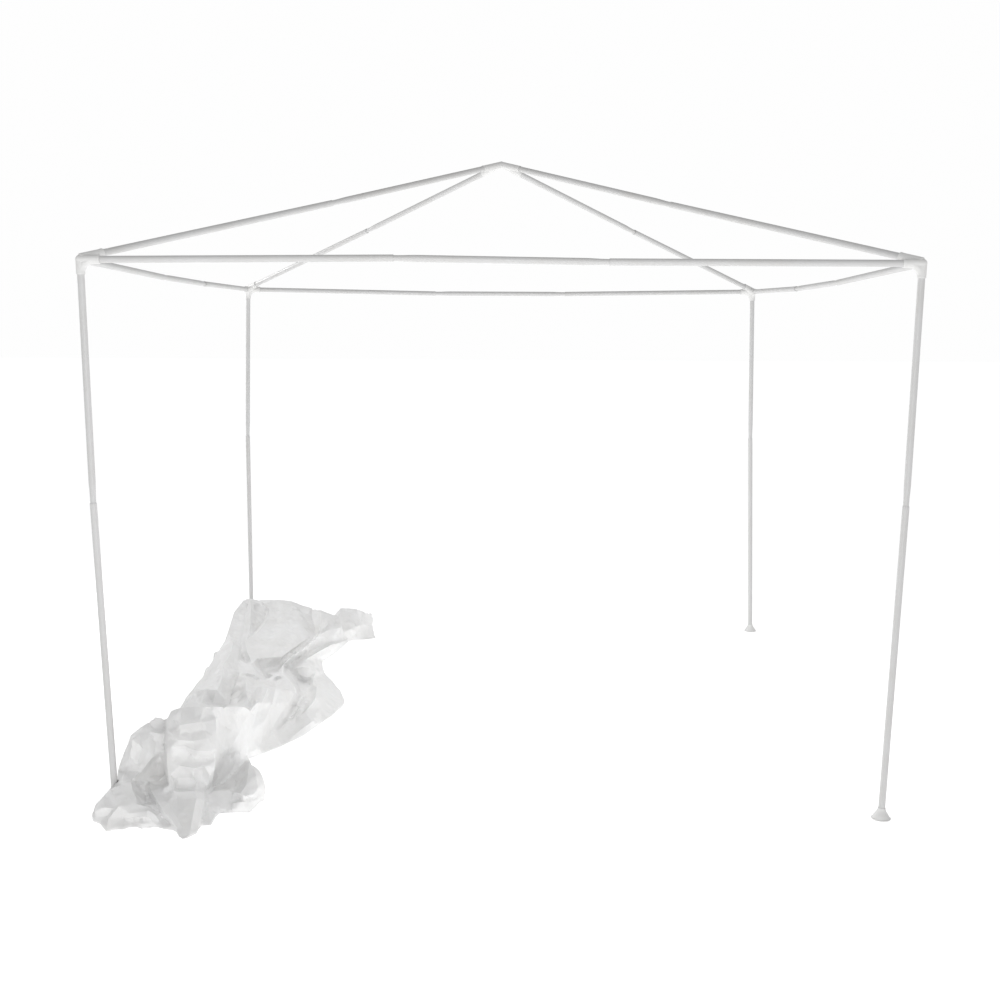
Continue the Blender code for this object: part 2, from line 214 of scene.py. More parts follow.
# Finishes: the clean and the dusty colour, the noise of the dust and the part of it that shows, the
# noise of the gloss and its range of roughness, then the noise of the grain and its relief. A noise
# is its scale, its detail and its roughness; a relief is its strength and its depth in metres.
FINISHES = {
    "painted_steel": {
        "clean": (0.62, 0.62, 0.62), "dusty": (0.585, 0.58, 0.57), "roughness": 0.38,
        "dust": (7, 5, 0.6), "dust_range": (0.42, 0.75),
        "gloss": (30, 3), "gloss_range": (0.30, 0.46),
        "grain": (900, 2), "relief": (0.12, 0.0002),
    },
    "white_plastic": {
        "clean": (0.76, 0.76, 0.755), "dusty": (0.715, 0.71, 0.70), "roughness": 0.5,
        "dust": (22, 6, 0.65), "dust_range": (0.4, 0.72),
        "gloss": (22, 6, 0.65), "gloss_range": (0.42, 0.56),
        "grain": (2200, 3), "relief": (0.25, 0.00015),
    },
    "cover_sheet": {
        "clean": (0.84, 0.84, 0.84), "dusty": (0.79, 0.785, 0.775), "roughness": 0.5,
        "dust": (4, 6, 0.6), "dust_range": (0.40, 0.75),
        "gloss": (14, 4), "gloss_range": (0.40, 0.62),
    },
}
GLOSS_NOISE_RANGE = (0.3, 0.7)

# The sheet's sheen and its thin glow, its weave, and the fine creases pressed into it: cells per
# metre, strength and depth, then how wavy and how wide they are
COVER_SHADER = {
    "Sheen Weight": 0.15,
    "Subsurface Weight": 0.12,
    "Subsurface Radius": (0.008, 0.008, 0.008),
    "Subsurface Scale": 1,
}
WEAVE_SCALE = 64
WEAVE_RELIEF = (0.12, 0.0004)
CREASE_PRINTS = [(9, 0.3, 0.003), (26, 0.25, 0.001)]
PRINT_BEND = 0.12
PRINT_BEND_SCALE = 0.4
PRINT_BEND_DETAIL = 2
PRINT_WIDTH = 0.25

# Roof cover: how the fallen sheet lies. Each point is a place in the photograph, across and down
# in its pixels, and its height over the floor in millimetres. First the edge on the floor that
# shows, from the left skirt round the front to the far flap, then the skyline back to the skirt.
COVER_RIM = [
    (93, 820, 10), (100, 822.5, 10), (106.5, 831, 8), (116, 828, 10), (124, 828, 10), (130, 825, 12),
    (139, 826, 10), (141, 822.5, 30), (150, 823, 20), (158, 826, 10), (165, 828, 10), (170, 826.5, 15),
    (176, 830.5, 10), (179, 836, 7), (182, 839, 6), (186, 838, 7), (197, 832, 10), (200, 824, 12),
    (211, 824, 10), (216, 815, 12), (221, 810, 12), (227, 812, 10), (232, 811, 10), (250, 811, 10),
    (255, 806, 10), (260, 800.5, 10), (264, 797, 20), (267, 790, 50), (265, 781, 85), (262, 774, 105),
    (258, 768, 120), (253, 764, 130), (249, 760.5, 130), (248, 758, 10), (262, 753, 10), (280, 746, 10),
    (290, 741, 10), (303, 735, 10), (310, 730, 10), (322, 721.5, 10), (332, 715, 10), (344, 704, 10),
    (345, 700, 10), (341, 691, 10), (337, 686, 10), (330, 678, 12), (324, 672, 12), (323, 666, 12),
    (322.5, 660, 12), (330, 656, 10), (337, 651, 10), (343, 646, 10), (348, 641, 10), (351, 640, 8),
    (376, 638, 6),
]
COVER_CREST = [
    (374, 622, 85), (372, 612, 140), (365, 612, 145), (357, 609, 155), (346, 608, 165), (340, 608, 170),
    (338, 616, 140), (331, 614, 165), (321, 610, 200), (312, 608, 190), (302, 605, 210), (292, 601, 235),
    (284, 600, 240), (270, 599.5, 245), (258, 600, 240), (250, 598.5, 250), (244, 599.5, 240),
    (234, 612, 215), (231, 622, 205), (228, 631, 195), (225, 640, 180), (222, 647, 168), (217, 653, 170),
    (212, 661, 175), (207, 670, 180), (202, 678, 185), (196, 687, 195), (193, 692, 200), (191, 698, 200),
    (188, 702, 210), (184, 706, 220), (183.8, 707.2, 370), (176, 709, 365), (171, 711, 360),
    (168, 718, 345), (165.5, 719, 318), (163, 717, 325), (158, 716, 330), (153, 718, 325), (149, 722, 310),
    (141, 727, 295), (136, 731, 285), (131, 735, 275), (128, 743, 245), (125, 750, 220), (122, 758, 190),
    (119, 766, 160), (118, 771, 140), (117, 780, 130), (115, 787, 129), (110, 790, 122), (105, 794, 107),
    (100, 800, 85), (97, 805, 67), (95, 811, 45),
]

# The large folds between them: ridges, creases, edges and the bottoms of hollows
COVER_FOLDS = {
    "a_sliver": [
        (131, 735, 275), (133, 739, 285), (131, 748, 250), (130, 757, 215), (126, 767, 165),
        (124, 772, 145), (118, 771, 140),
    ],
    "a_sliver_inner": [(128, 743, 245), (127, 755, 215), (121, 769, 150)],
    "a_dent": [(149, 722, 310), (153, 728, 288), (163, 729, 284), (165.2, 723, 301)],
    "a_dent_low": [(150, 732, 287), (160, 734, 280)],
    "a_face": [(140, 733, 287), (142, 748, 245), (138, 764, 190)],
    "a_face_right": [(156, 742, 250), (154, 756, 205), (142, 771, 155), (131, 780, 138)],
    "a_wedge": [(158, 762, 165), (160, 774, 115), (148, 777, 120)],
    "a_foot": [(131, 782, 137), (140, 781, 115), (148, 781, 107), (158, 780.5, 107), (167, 780, 107)],
    "ab_back": [
        (165.5, 719, 318), (165, 730, 285), (164.5, 740, 252), (164.5, 750, 220), (165, 765, 166),
        (166, 775, 130), (167, 780, 107),
    ],
    "b_left": [
        (168, 718, 345), (167.2, 730, 305), (166.7, 740, 272), (166.7, 750, 240), (167.2, 765, 188),
        (168, 775, 155), (169.5, 786, 120),
    ],
    "b_top": [(183.8, 707.2, 370), (195, 706.8, 372), (205, 707.3, 365), (211, 712, 345), (216, 718, 325)],
    "b_right": [
        (216, 718, 325), (216, 730, 293), (216, 740, 262), (215.5, 750, 232), (215, 760, 198),
        (214.5, 769, 168),
    ],
    "b_shoulder": [(175, 714, 352), (180, 725, 337), (200, 722, 338)],
    "b_belly": [(171, 733, 305), (178, 740, 288), (192, 741, 285), (208, 738, 285)],
    "b_over": [(172, 746, 260), (184, 745, 268), (197, 751, 252), (212, 751, 238)],
    "b_crease": [(183, 748.5, 243), (190, 754, 221), (197, 757.5, 207), (212, 757.5, 200)],
    "b_low": [(172, 762, 200), (180, 766, 188), (194, 768, 182), (205, 767, 180)],
    "b_tuck_left": [(169.5, 776, 152), (172.5, 779, 145), (173.5, 786, 122), (174, 792, 100)],
    "b_tuck": [(176, 778, 135), (176, 789, 95), (190, 789, 96), (190, 777, 135), (176, 778, 135)],
    "b_tuck_right": [(193, 776, 145), (197, 783, 115), (200, 788, 95)],
    "b_fold": [(200, 770, 150), (202, 779, 115), (206, 786, 90)],
    "b_fold_ridge": [(206, 769, 170), (210, 776, 140), (209, 783, 100), (204, 792, 85)],
    "b_foot_right": [(214.5, 769, 168), (213, 779, 110), (210, 788, 40)],
    "shelf": [(148, 781, 107), (151, 791, 95), (160, 790.5, 97), (168, 789.5, 97), (174, 792, 100)],
    "flap_top": [(174, 792, 100), (184, 791.5, 102), (194, 791, 100), (204, 792, 85)],
    "flap_left": [(151, 791, 95), (158, 803, 76), (165, 813, 52), (172, 820.5, 36), (178, 829, 18)],
    "flap_left_step": [(149, 794, 65), (155, 806, 48), (162, 816, 30), (170, 824, 17)],
    "flap_right": [(204, 792, 85), (205, 800, 70), (201.5, 812, 45), (199, 823, 20)],
    "flap_ridge": [(196, 799, 83), (193, 815, 50), (190, 832, 18)],
    "flap_crease": [(177, 797, 85), (178, 803, 72), (188, 805, 70), (191, 799, 82)],
    "flap_middle": [(168, 803, 78), (176, 816, 50), (184, 830, 22)],
    "gap_left": [(206.5, 795, 45), (205, 808, 25), (202.5, 821, 12)],
    "gap_facet": [
        (206.5, 795, 45), (218, 790.5, 60), (230, 791, 62), (229, 799, 40), (220, 806, 25), (209, 807, 30),
    ],
    "gap_low": [(209, 807, 30), (209, 820, 14)],
    "skirt_light": [(117, 780, 130), (122, 783, 138), (131, 782, 137)],
    "skirt_ridge": [(122, 783, 138), (127, 795, 105), (119, 806, 79), (109, 818, 45), (106.5, 831, 8)],
    "skirt_left_top": [(95, 811, 45), (104, 807.5, 73), (113, 808.5, 70)],
    "skirt_left_foot": [(97, 817, 25), (107, 816, 38), (113, 808.5, 70)],
    "skirt_right_top": [
        (121, 811, 60), (130, 813.5, 56), (141, 812, 60), (149, 810.5, 63), (155, 815, 45), (160, 822, 20),
    ],
    "skirt_gather": [(127, 795, 105), (136, 804, 82), (149, 807, 68)],
    "notch": [(124, 819, 30), (133, 816.5, 45), (146, 816.5, 47), (152, 820, 30)],
    "notch_back": [(134, 820, 18), (140, 818.8, 16), (146, 820, 18)],
    "pit_left": [(131, 782, 137), (132.5, 790, 115), (136, 798, 95), (137, 804, 80)],
    "pit_right": [(148, 781, 107), (149, 789, 90), (151, 797, 70), (154, 805, 55)],
    "pit": [(136, 785, 105), (142, 786, 86), (145, 793, 66), (146, 801, 60)],
    "lump_crest": [
        (205, 707.3, 365), (216, 706.8, 345), (224, 706.8, 335), (235, 706.8, 315), (245, 707.2, 290),
        (250, 711, 255),
    ],
    "panel_left": [
        (206.5, 708, 352), (212, 713.5, 328), (217.5, 719.5, 295), (217.6, 730, 262), (217.5, 740, 232),
        (217, 750, 203), (216.5, 760, 170), (216, 770, 128),
    ],
    "triangle": [(224, 706.8, 335), (224, 716, 295), (226, 727.5, 235), (233, 731, 212), (240, 732, 195)],
    "triangle_tab": [(235, 713, 295), (237, 717.5, 270), (240, 717, 255)],
    "panel_low": [(226, 727.5, 235), (222, 742, 200), (218, 756, 165)],
    "wall_top": [
        (250, 711, 255), (245, 721, 225), (240, 732, 195), (232, 746, 158), (222, 759, 120), (216, 771, 90),
        (212, 786, 22),
    ],
    "wall_foot": [
        (257, 713, 170), (252, 730, 130), (241, 752, 75), (231, 770.5, 45), (222, 781, 28),
        (210, 789.5, 12),
    ],
    "wall_up": [(250, 711, 255), (256, 703, 235), (257, 713, 170)],
    "strip_right": [(240, 767, 30), (232, 776, 25), (222, 784.5, 18)],
    "d_left": [(249, 760.5, 130), (241, 768, 75), (235, 780, 50), (232, 791, 40), (232.5, 803, 30)],
    "d_ridge": [(249, 760.5, 130), (248, 774, 120), (246.5, 785, 100), (241, 793, 82)],
    "d_front": [(232.5, 793, 60), (241, 793, 82), (244, 797, 75), (252, 795, 75), (262, 787, 75)],
    "d_light": [(249, 760.5, 130), (256, 775, 125), (258, 788, 85)],
    "d_tuck": [(233, 803.5, 35), (241, 802, 50), (250, 802, 45), (259, 799, 30)],
    "d_tuck_back": [(241, 800, 45), (250, 800, 35), (258, 797, 40)],
    "back_foot": [
        (184, 706, 220), (200, 705.6, 200), (213, 705, 190), (229, 705.3, 182), (240, 706, 210),
        (246, 706, 235),
    ],
    "band_top": [(193, 692, 200), (205, 689, 235), (216, 690, 255), (213, 704, 196)],
    "bright_ridge": [
        (222, 647, 168), (233, 644.5, 222), (231, 652, 236), (224.5, 664, 250), (222, 678, 260),
        (217, 690, 255),
    ],
    "bright_middle": [(217, 653, 170), (214, 668, 215), (208, 683, 225)],
    "dark_valley": [(236.5, 675, 193), (234.5, 683, 187), (232, 692, 182), (229, 705.3, 182)],
    "strip": [(233, 644.5, 222), (239, 648, 205), (239, 660, 195), (237, 673, 190)],
    "strip_foot": [(222, 678, 260), (230, 679, 225), (236.5, 675, 185)],
    "rect_right": [
        (236.5, 675, 185), (246, 677.5, 232), (246, 690, 248), (252, 693, 243), (249, 700, 240),
        (246, 706, 235),
    ],
    "ledge_edge": [(236, 672, 218), (247, 673, 210), (258, 676, 200), (262, 681, 185)],
    "ledge_foot": [(236.5, 675, 185), (247, 675.5, 180), (257, 678.5, 175)],
    "ledge_up": [(239, 660, 195), (247, 664, 205), (252, 663, 200), (257, 675, 200)],
    "l1_left": [
        (248, 601.5, 225), (246, 612, 208), (243, 630, 190), (240.5, 641, 178), (240, 652, 175),
        (246, 663, 165),
    ],
    "l1_right": [
        (250, 598.5, 250), (250.5, 612, 243), (250, 625, 232), (249, 635, 222), (245, 641, 212),
        (247, 652, 205), (252, 663, 200),
    ],
    "dip": [
        (258, 600, 240), (261, 604, 220), (265.5, 611, 198), (264.5, 620, 190), (258, 628, 185),
        (250.5, 636, 185),
    ],
    "l2": [
        (263, 603, 235), (269, 609, 235), (268.5, 616, 230), (264.5, 624, 224), (257, 632, 218),
        (247, 641, 212),
    ],
    "plateau_a": [(285, 604, 232), (285, 630, 214), (272, 648, 200)],
    "plateau_b": [(298, 611, 222), (300, 626, 210), (296, 640, 185)],
    "soft_valley": [(312, 608, 190), (312, 618, 172), (315, 631, 135)],
    "soft_left": [(303, 618, 205), (305, 636, 178)],
    "tent_ridge": [(321, 610, 200), (321, 620, 188), (320, 631, 160)],
    "tent_right": [(331, 614, 165), (328, 624, 145), (322, 632, 140)],
    "plateau_edge": [
        (252, 663, 200), (257, 658.5, 192), (270, 657.5, 187), (282, 656.5, 178), (297, 645.5, 172),
        (308, 638, 165), (315, 631, 135),
    ],
    "hollow": [(258, 662, 165), (262, 671, 120), (267, 679, 100), (275, 678, 105), (278, 667, 120)],
    "hollow_line": [
        (278, 667, 120), (284, 659.5, 124), (298, 648, 126), (308, 640.5, 124), (318, 634, 126),
    ],
    "r1": [
        (340, 628, 115), (328, 630, 138), (318, 636, 158), (303, 649, 172), (290, 658, 172),
        (283, 665, 168), (276, 674, 155),
    ],
    "r1_foot": [(347, 637, 35), (331, 641.5, 82), (312, 651, 100), (296, 660.5, 100), (287, 668, 98)],
    "r2": [(345, 641, 25), (331, 645, 92), (318, 652, 108), (304, 660.5, 125), (297, 668, 125)],
    "r2_low": [(333, 650, 45), (316, 659, 75), (323, 666, 12)],
    "flap_fold": [(340, 608, 170), (341, 620, 125), (344, 632, 70), (348, 641, 10)],
    "flap_strip": [(361, 611, 150), (361, 625, 85), (361, 639, 8)],
    "flap_strip_right": [(368, 612, 143), (369.5, 625, 72), (371, 638, 6)],
    "panel_top": [
        (262, 681, 185), (269, 680.5, 185), (277, 676, 178), (285, 676, 168), (291, 682, 168),
        (294.5, 688, 162), (295, 693, 152),
    ],
    "panel_edge": [(295, 693, 152), (288, 703, 130), (280, 715, 100), (271, 730, 55)],
    "band_foot": [
        (290, 671, 100), (296, 680, 70), (300, 690, 58), (303.5, 695, 52), (298, 707, 45), (288, 720, 38),
        (279, 729, 30),
    ],
    "streaks": [(262, 684, 210), (256, 694, 198), (250.5, 706, 195)],
    "streak_ridge": [(268, 688, 218), (262, 702, 208), (257, 713, 170)],
    "panel_line": [(276, 688, 205), (272, 704, 175), (264, 722, 130), (252, 742, 75)],
    "panel_right": [(285, 690, 178), (280, 705, 145), (270, 722, 90)],
    "e_arch": [(297, 668, 125), (302, 667, 132), (309, 668, 128), (316, 671, 105), (323, 674, 30)],
    "e_lip": [(297, 668, 125), (299, 674, 100), (306, 677.5, 92), (311, 677, 90), (316, 671, 105)],
    "e_pit": [(299, 677, 74), (305, 681, 63), (310, 684.5, 60), (308, 688, 63)],
    "e_pit_right": [(313, 679, 95), (313, 686, 85), (317, 687, 95)],
    "e_streak": [(303.5, 695, 52), (304.5, 697, 82), (299, 708, 75), (292.5, 717, 58)],
    "e_crease": [(306.5, 694, 45), (303, 705, 32), (294, 718.5, 25)],
    "e_ridge": [(317, 687, 95), (315, 700, 85), (307, 710, 65), (299, 717, 45)],
    "e_light": [(324, 680, 70), (326, 694, 70), (321, 706, 50), (308, 717, 50)],
    "e_low": [(308, 717.5, 48), (297, 726, 25), (286, 736, 15)],
    "e_low_ridge": [(313, 721, 40), (302, 729, 30), (292, 737, 20)],
    "e_border": [(330, 683, 45), (336, 690, 40), (339, 699, 28)],
}

# The edge on the floor that doesn't show, from the far flap round the back and the left side,
# in metres from the frame's middle
COVER_BACK = [
    (-0.725, 1.25), (-0.74, 1.31), (-0.83, 1.33), (-0.95, 1.345), (-1.1, 1.37), (-1.25, 1.36),
    (-1.38, 1.375), (-1.48, 1.36), (-1.55, 1.29), (-1.565, 1.15), (-1.55, 0.9), (-1.555, 0.6),
    (-1.53, 0.3), (-1.535, 0), (-1.51, -0.3), (-1.51, -0.6), (-1.49, -0.9), (-1.5, -1.15),
    (-1.525, -1.3), (-1.53, -1.4), (-1.51, -1.5),
]

# The frame's middle, from the peak connector, which is symmetric about it
PEAK_LOW, PEAK_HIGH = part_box("peak_connector")
MIDDLE = Vector(((PEAK_LOW[0] + PEAK_HIGH[0]) / 2, (PEAK_LOW[1] + PEAK_HIGH[1]) / 2, 0))

# Camera, fitted to the photograph: its width and the focal length in pixels, angles in radians
PHOTO_SIZE = 1000
FOCAL_PIXELS = 1244.7
SENSOR_MM = 36
CAMERA_SIGHT = 200
CAMERA_PITCH = 0.1327
CAMERA_ROLL = 0.0046
CAMERA_YAW = 0.0017
CAMERA_PLACE = MIDDLE + Vector((-0.009, -5.925, 1.786))


def camera_axes():
    """The camera's right, up and forward directions."""
    forward = Vector((
        sin(CAMERA_YAW) * cos(CAMERA_PITCH), cos(CAMERA_YAW) * cos(CAMERA_PITCH), -sin(CAMERA_PITCH)
    ))
    level_right = Vector((cos(CAMERA_YAW), -sin(CAMERA_YAW), 0))
    level_up = level_right.cross(forward)
    right = level_right * cos(CAMERA_ROLL) + level_up * sin(CAMERA_ROLL)
    up = level_up * cos(CAMERA_ROLL) - level_right * sin(CAMERA_ROLL)
    return right, up, forward


def make_camera():
    """The camera at the photograph's place and angle."""
    data = bpy.data.cameras.new("camera")
    data.sensor_width = SENSOR_MM
    data.lens = FOCAL_PIXELS / PHOTO_SIZE * SENSOR_MM
    data.clip_end = CAMERA_SIGHT
    camera = bpy.data.objects.new("camera", data)
    right, up, forward = camera_axes()
    turn = Matrix((right, up, -forward)).transposed()
    camera.matrix_world = Matrix.Translation(CAMERA_PLACE) @ turn.to_4x4()
    bpy.context.collection.objects.link(camera)
    bpy.context.scene.camera = camera


# Studio: a pale room that is dimmer overhead and at its sides, and a pale floor that glows a little
ROOM_LIGHT = 0.70
ROOM_OVERHEAD = 0.42
ROOM_SIDES = 0.85
ROOM_SEEN = 0.99
FLOOR_COLOUR = 0.85
FLOOR_GLOW = 0.61
FLOOR_SIZE = 160
FLOOR_ROUGHNESS = 0.9

# Soft lamps: place and aim from the frame's middle, power, size and the angle that they light. A
# lamp without an aim is round.
LAMPS = {
    "inside_lamp": ((0.25, 0, 1.9), (0.25, 0, 0.9), 12.5, 2.4, 132 * pi / 180),
    "key_lamp": ((-3.4, 2.2, 2.6), (-1.2, -0.4, 0.1), 44, 1.2, pi),
    "middle_lamp": ((0, 0.2, 1.1), None, 5, 0.4, pi),
    "fill_lamp": ((0, -4.5, 1.4), (-1.2, -0.9, 0.1), 26, 1.6, pi),
}


def make_lamp(name, place, aim, power, size, spread):
    """A soft lamp that isn't seen itself."""
    data = bpy.data.lights.new(name, "AREA" if aim else "POINT")
    data.energy = power
    lamp = bpy.data.objects.new(name, data)
    lamp.location = MIDDLE + Vector(place)
    if aim:
        data.size = size
        data.spread = spread
        lamp.rotation_euler = (Vector(aim) - Vector(place)).to_track_quat("-Z", "Y").to_euler()
    else:
        data.shadow_soft_size = size
    lamp.visible_camera = False
    bpy.context.collection.objects.link(lamp)


def make_studio():
    """Soft light and a plain pale floor."""
    scene = bpy.context.scene
    scene.view_settings.view_transform = "Standard"
    scene.world = bpy.data.worlds.new("studio")
    scene.world.use_nodes = True
    tree = scene.world.node_tree
    place = add_node(tree, "TexCoord").outputs["Generated"]
    parts = add_node(tree, "SeparateXYZ", {"Vector": place}).outputs
    upward = ramp(tree, parts["Z"], 0, 1, ROOM_LIGHT, ROOM_OVERHEAD)
    sideways = ramp(tree, arithmetic(tree, "ABSOLUTE", parts["X"]), 0, 1, 1, ROOM_SIDES)
    room = arithmetic(tree, "MULTIPLY", upward, sideways)
    camera_ray = add_node(tree, "LightPath").outputs["Is Camera Ray"]
    strength = add_node(tree, "Mix", {"Factor": camera_ray, "A": room, "B": ROOM_SEEN}).outputs["Result"]
    feed(tree, tree.nodes["Background"], {"Color": (1, 1, 1, 1), "Strength": strength})
    for name, lamp in LAMPS.items():
        make_lamp(name, *lamp)
    bpy.ops.mesh.primitive_plane_add(size=FLOOR_SIZE)
    floor = bpy.context.object
    floor.name = "floor"
    material, tree, shader, _ = new_material("studio_floor", FLOOR_ROUGHNESS)
    feed(tree, shader, {
        "Base Color": (FLOOR_COLOUR, FLOOR_COLOUR, FLOOR_COLOUR, 1),
        "Specular IOR Level": 0,
        "Emission Color": (1, 1, 1, 1),
        "Emission Strength": FLOOR_GLOW,
    })
    floor.data.materials.append(material)


def feed(tree, node, inputs):
    """Give a node's inputs their values, or link the sockets of other nodes to them."""
    for name, value in inputs.items():
        if isinstance(value, bpy.types.NodeSocket):
            tree.links.new(value, node.inputs[name])
        else:
            node.inputs[name].default_value = value


def add_node(tree, kind, inputs=None, **settings):
    """A new node with its settings and its inputs."""
    node = tree.nodes.new(f"ShaderNode{kind}")
    for name, value in settings.items():
        setattr(node, name, value)
    feed(tree, node, inputs or {})
    return node


def arithmetic(tree, operation, *values):
    """What an operation makes of one or two values."""
    return add_node(tree, "Math", dict(enumerate(values)), operation=operation).outputs["Value"]


def new_material(name, roughness):
    """A Principled material, its node tree, its shader and its object's own space."""
    material = bpy.data.materials.new(name)
    material.use_nodes = True
    tree = material.node_tree
    shader = tree.nodes["Principled BSDF"]
    shader.inputs["Roughness"].default_value = roughness
    return material, tree, shader, add_node(tree, "TexCoord").outputs["Object"]


def noise(tree, place, scale, detail, roughness=0.5):
    """The outputs of a noise texture over a space."""
    inputs = {"Vector": place, "Scale": scale, "Detail": detail, "Roughness": roughness}
    return add_node(tree, "TexNoise", inputs).outputs


def ramp(tree, source, low, high, low_value, high_value):
    """A range of a source turned into a range of values."""
    inputs = {
        "Value": source, "From Min": low, "From Max": high, "To Min": low_value, "To Max": high_value,
    }
    return add_node(tree, "MapRange", inputs).outputs["Result"]


def bump(tree, height, strength, distance, **before):
    """The normal of a bump from a height, over an earlier one if there is one."""
    inputs = {"Height": height, "Strength": strength, "Distance": distance, **before}
    return add_node(tree, "Bump", inputs).outputs["Normal"]


def plain_finish(name):
    """A material with faint dust over a clean colour and an uneven gloss."""
    finish = FINISHES[name]
    material, tree, shader, place = new_material(name, finish["roughness"])
    dust = ramp(tree, noise(tree, place, *finish["dust"])["Fac"], *finish["dust_range"], 0, 1)
    colours = {6: (*finish["clean"], 1), 7: (*finish["dusty"], 1)}
    colour = add_node(tree, "Mix", {"Factor": dust, **colours}, data_type="RGBA").outputs[2]
    gloss = noise(tree, place, *finish["gloss"])["Fac"]
    gloss = ramp(tree, gloss, *GLOSS_NOISE_RANGE, *finish["gloss_range"])
    feed(tree, shader, {"Base Color": colour, "Roughness": gloss})
    return material, tree, shader, place


def grained_finish(name):
    """A plain finish with a fine grain: powder paint's orange peel, or moulded plastic's matt."""
    material, tree, shader, place = plain_finish(name)
    grain = noise(tree, place, *FINISHES[name]["grain"])["Fac"]
    feed(tree, shader, {"Normal": bump(tree, grain, *FINISHES[name]["relief"])})
    return material


def ring_axes(direction):
    """Two unit vectors square to a direction, alike for every piece on one line."""
    nearly_up = 0.8
    helper = Vector((0, 0, 1)) if abs(direction.z) < nearly_up else Vector((0, 1, 0))
    across = direction.cross(helper).normalized()
    return across, direction.cross(across).normalized()


def ring(centre, direction, radius, sides=TUBE_SIDES, axes=None):
    """Points of one regular ring about a centre, square to a direction."""
    across, up = axes or ring_axes(direction)
    points = []
    for step in range(sides):
        angle = 2 * pi * step / sides
        points.append(centre + radius * (cos(angle) * across + sin(angle) * up))
    return points


def new_object(name, bm):
    """An object in the scene from a finished bmesh, with its faces pointing out."""
    bmesh.ops.recalc_face_normals(bm, faces=bm.faces)
    mesh = bpy.data.meshes.new(name)
    bm.to_mesh(mesh)
    bm.free()
    thing = bpy.data.objects.new(name, mesh)
    bpy.context.collection.objects.link(thing)
    return thing


def loft(name, rings, closed=False):
    """A body through a list of rings: capped at both ends, or closed round onto itself."""
    bm = bmesh.new()
    loops = []
    for points in rings:
        loops.append([bm.verts.new(point) for point in points])
    pairs = list(zip(loops, loops[1:]))
    if closed:
        pairs.append((loops[-1], loops[0]))
    for first, second in pairs:
        count = len(first)
        for i in range(count):
            j = (i + 1) % count
            bm.faces.new((first[i], first[j], second[j], second[i]))
    if not closed:
        bm.faces.new(loops[0])
        bm.faces.new(loops[-1])
    return new_object(name, bm)


def apply_modifiers(thing):
    """Make an object's evaluated mesh its own."""
    depsgraph = bpy.context.evaluated_depsgraph_get()
    mesh = bpy.data.meshes.new_from_object(thing.evaluated_get(depsgraph))
    thing.modifiers.clear()
    thing.data = mesh


def combine(base, tool, operation):
    """Apply a Boolean of one object with another, and remove the other."""
    modifier = base.modifiers.new(operation.lower(), "BOOLEAN")
    modifier.operation = operation
    modifier.solver = "EXACT"
    modifier.object = tool
    apply_modifiers(base)
    bpy.data.objects.remove(tool)


def rod(name, start, direction, profile, sides=TUBE_SIDES):
    """A turned solid along a direction, through pairs of distance and radius."""
    return loft(name, [ring(start + direction * reach, direction, r, sides) for reach, r in profile])


def plain_end(end, way, inward):
    """Outer and inner rings of a tube that is cut square, with its rim rounded."""
    outer = [
        ring(end + inward * RIM_ROUND * 2, way, TUBE_R),
        ring(end + inward * RIM_ROUND, way, TUBE_R),
        ring(end + inward * RIM_ROUND / 4, way, TUBE_R - RIM_ROUND / 4),
        ring(end, way, TUBE_R - RIM_ROUND),
    ]
    inner = [
        ring(end + inward * RIM_ROUND, way, BORE_R),
        ring(end, way, BORE_R + RIM_ROUND / 2),
    ]
    return outer, inner


def spigot_end(point, outward, follow, sign):
    """Outer and inner rings, middle to tip, of a tube end drawn down to enter the next tube.
    The spigot turns at the joint's point to follow the next tube."""
    taper_start = point - outward * (NECK_STRAIGHT + NECK_TAPER)
    neck = point - outward * NECK_STRAIGHT
    reach = point + follow * NECK_STRAIGHT
    shoulder = reach + follow * NECK_STRAIGHT
    tip = point + follow * SPIGOT_LENGTH
    way = outward * sign
    bend = (outward + follow).normalized() * sign
    spigot_way = follow * sign
    spigot_r = BORE_R - GAP
    inner_r = NECK_R - TUBE_WALL
    outer = []
    for step in range(NECK_STEPS + 1):
        share = step / NECK_STEPS
        ease = (1 - cos(pi * share)) / 2
        outer.append(ring(taper_start.lerp(neck, share), way, TUBE_R + (NECK_R - TUBE_R) * ease))
    outer += [
        ring(point, bend, NECK_R),
        ring(reach, spigot_way, NECK_R),
        ring(shoulder, spigot_way, spigot_r),
        ring(tip, spigot_way, spigot_r),
    ]
    inner = [
        ring(taper_start, way, BORE_R),
        ring(neck, way, inner_r),
        ring(point, bend, inner_r),
        ring(tip, spigot_way, inner_r),
    ]
    return outer, inner


def tube_section(node, first, last, material):
    """One hollow tube in the place of its node. Each end is its point, the way out of the tube
    there, the way that its spigot follows into the next tube or None, and how short it is cut."""
    outer_sides = []
    inner_sides = []
    for sign, (point, outward, follow, trim) in ((-1, first), (1, last)):
        if follow is None:
            outer, inner = plain_end(point - outward * trim, outward * sign, -outward)
        else:
            outer, inner = spigot_end(point, outward, follow, sign)
        outer_sides.append(outer)
        inner_sides.append(inner)
    rings = outer_sides[0][::-1] + outer_sides[1] + inner_sides[1][::-1] + inner_sides[0]
    tube = loft(f"{node}_tube", rings, closed=True)
    dress(tube, material, node)


def dress(piece, material, node):
    """Finish a rigid piece, and let it stand for its node and ride on the frame."""
    piece.data.materials.clear()
    piece.data.materials.append(material)
    piece.data.shade_smooth()
    piece.data.set_sharp_from_angle(angle=SHARP_ANGLE)
    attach(piece, "root")
    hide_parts(node)


def corner_point(corner):
    """Where the axes of a corner's leg and eave rails meet."""
    side_x, side_y = CORNERS[corner]
    return MIDDLE + Vector((side_x * SPAN / 2, side_y * SPAN / 2, EAVE_Z))


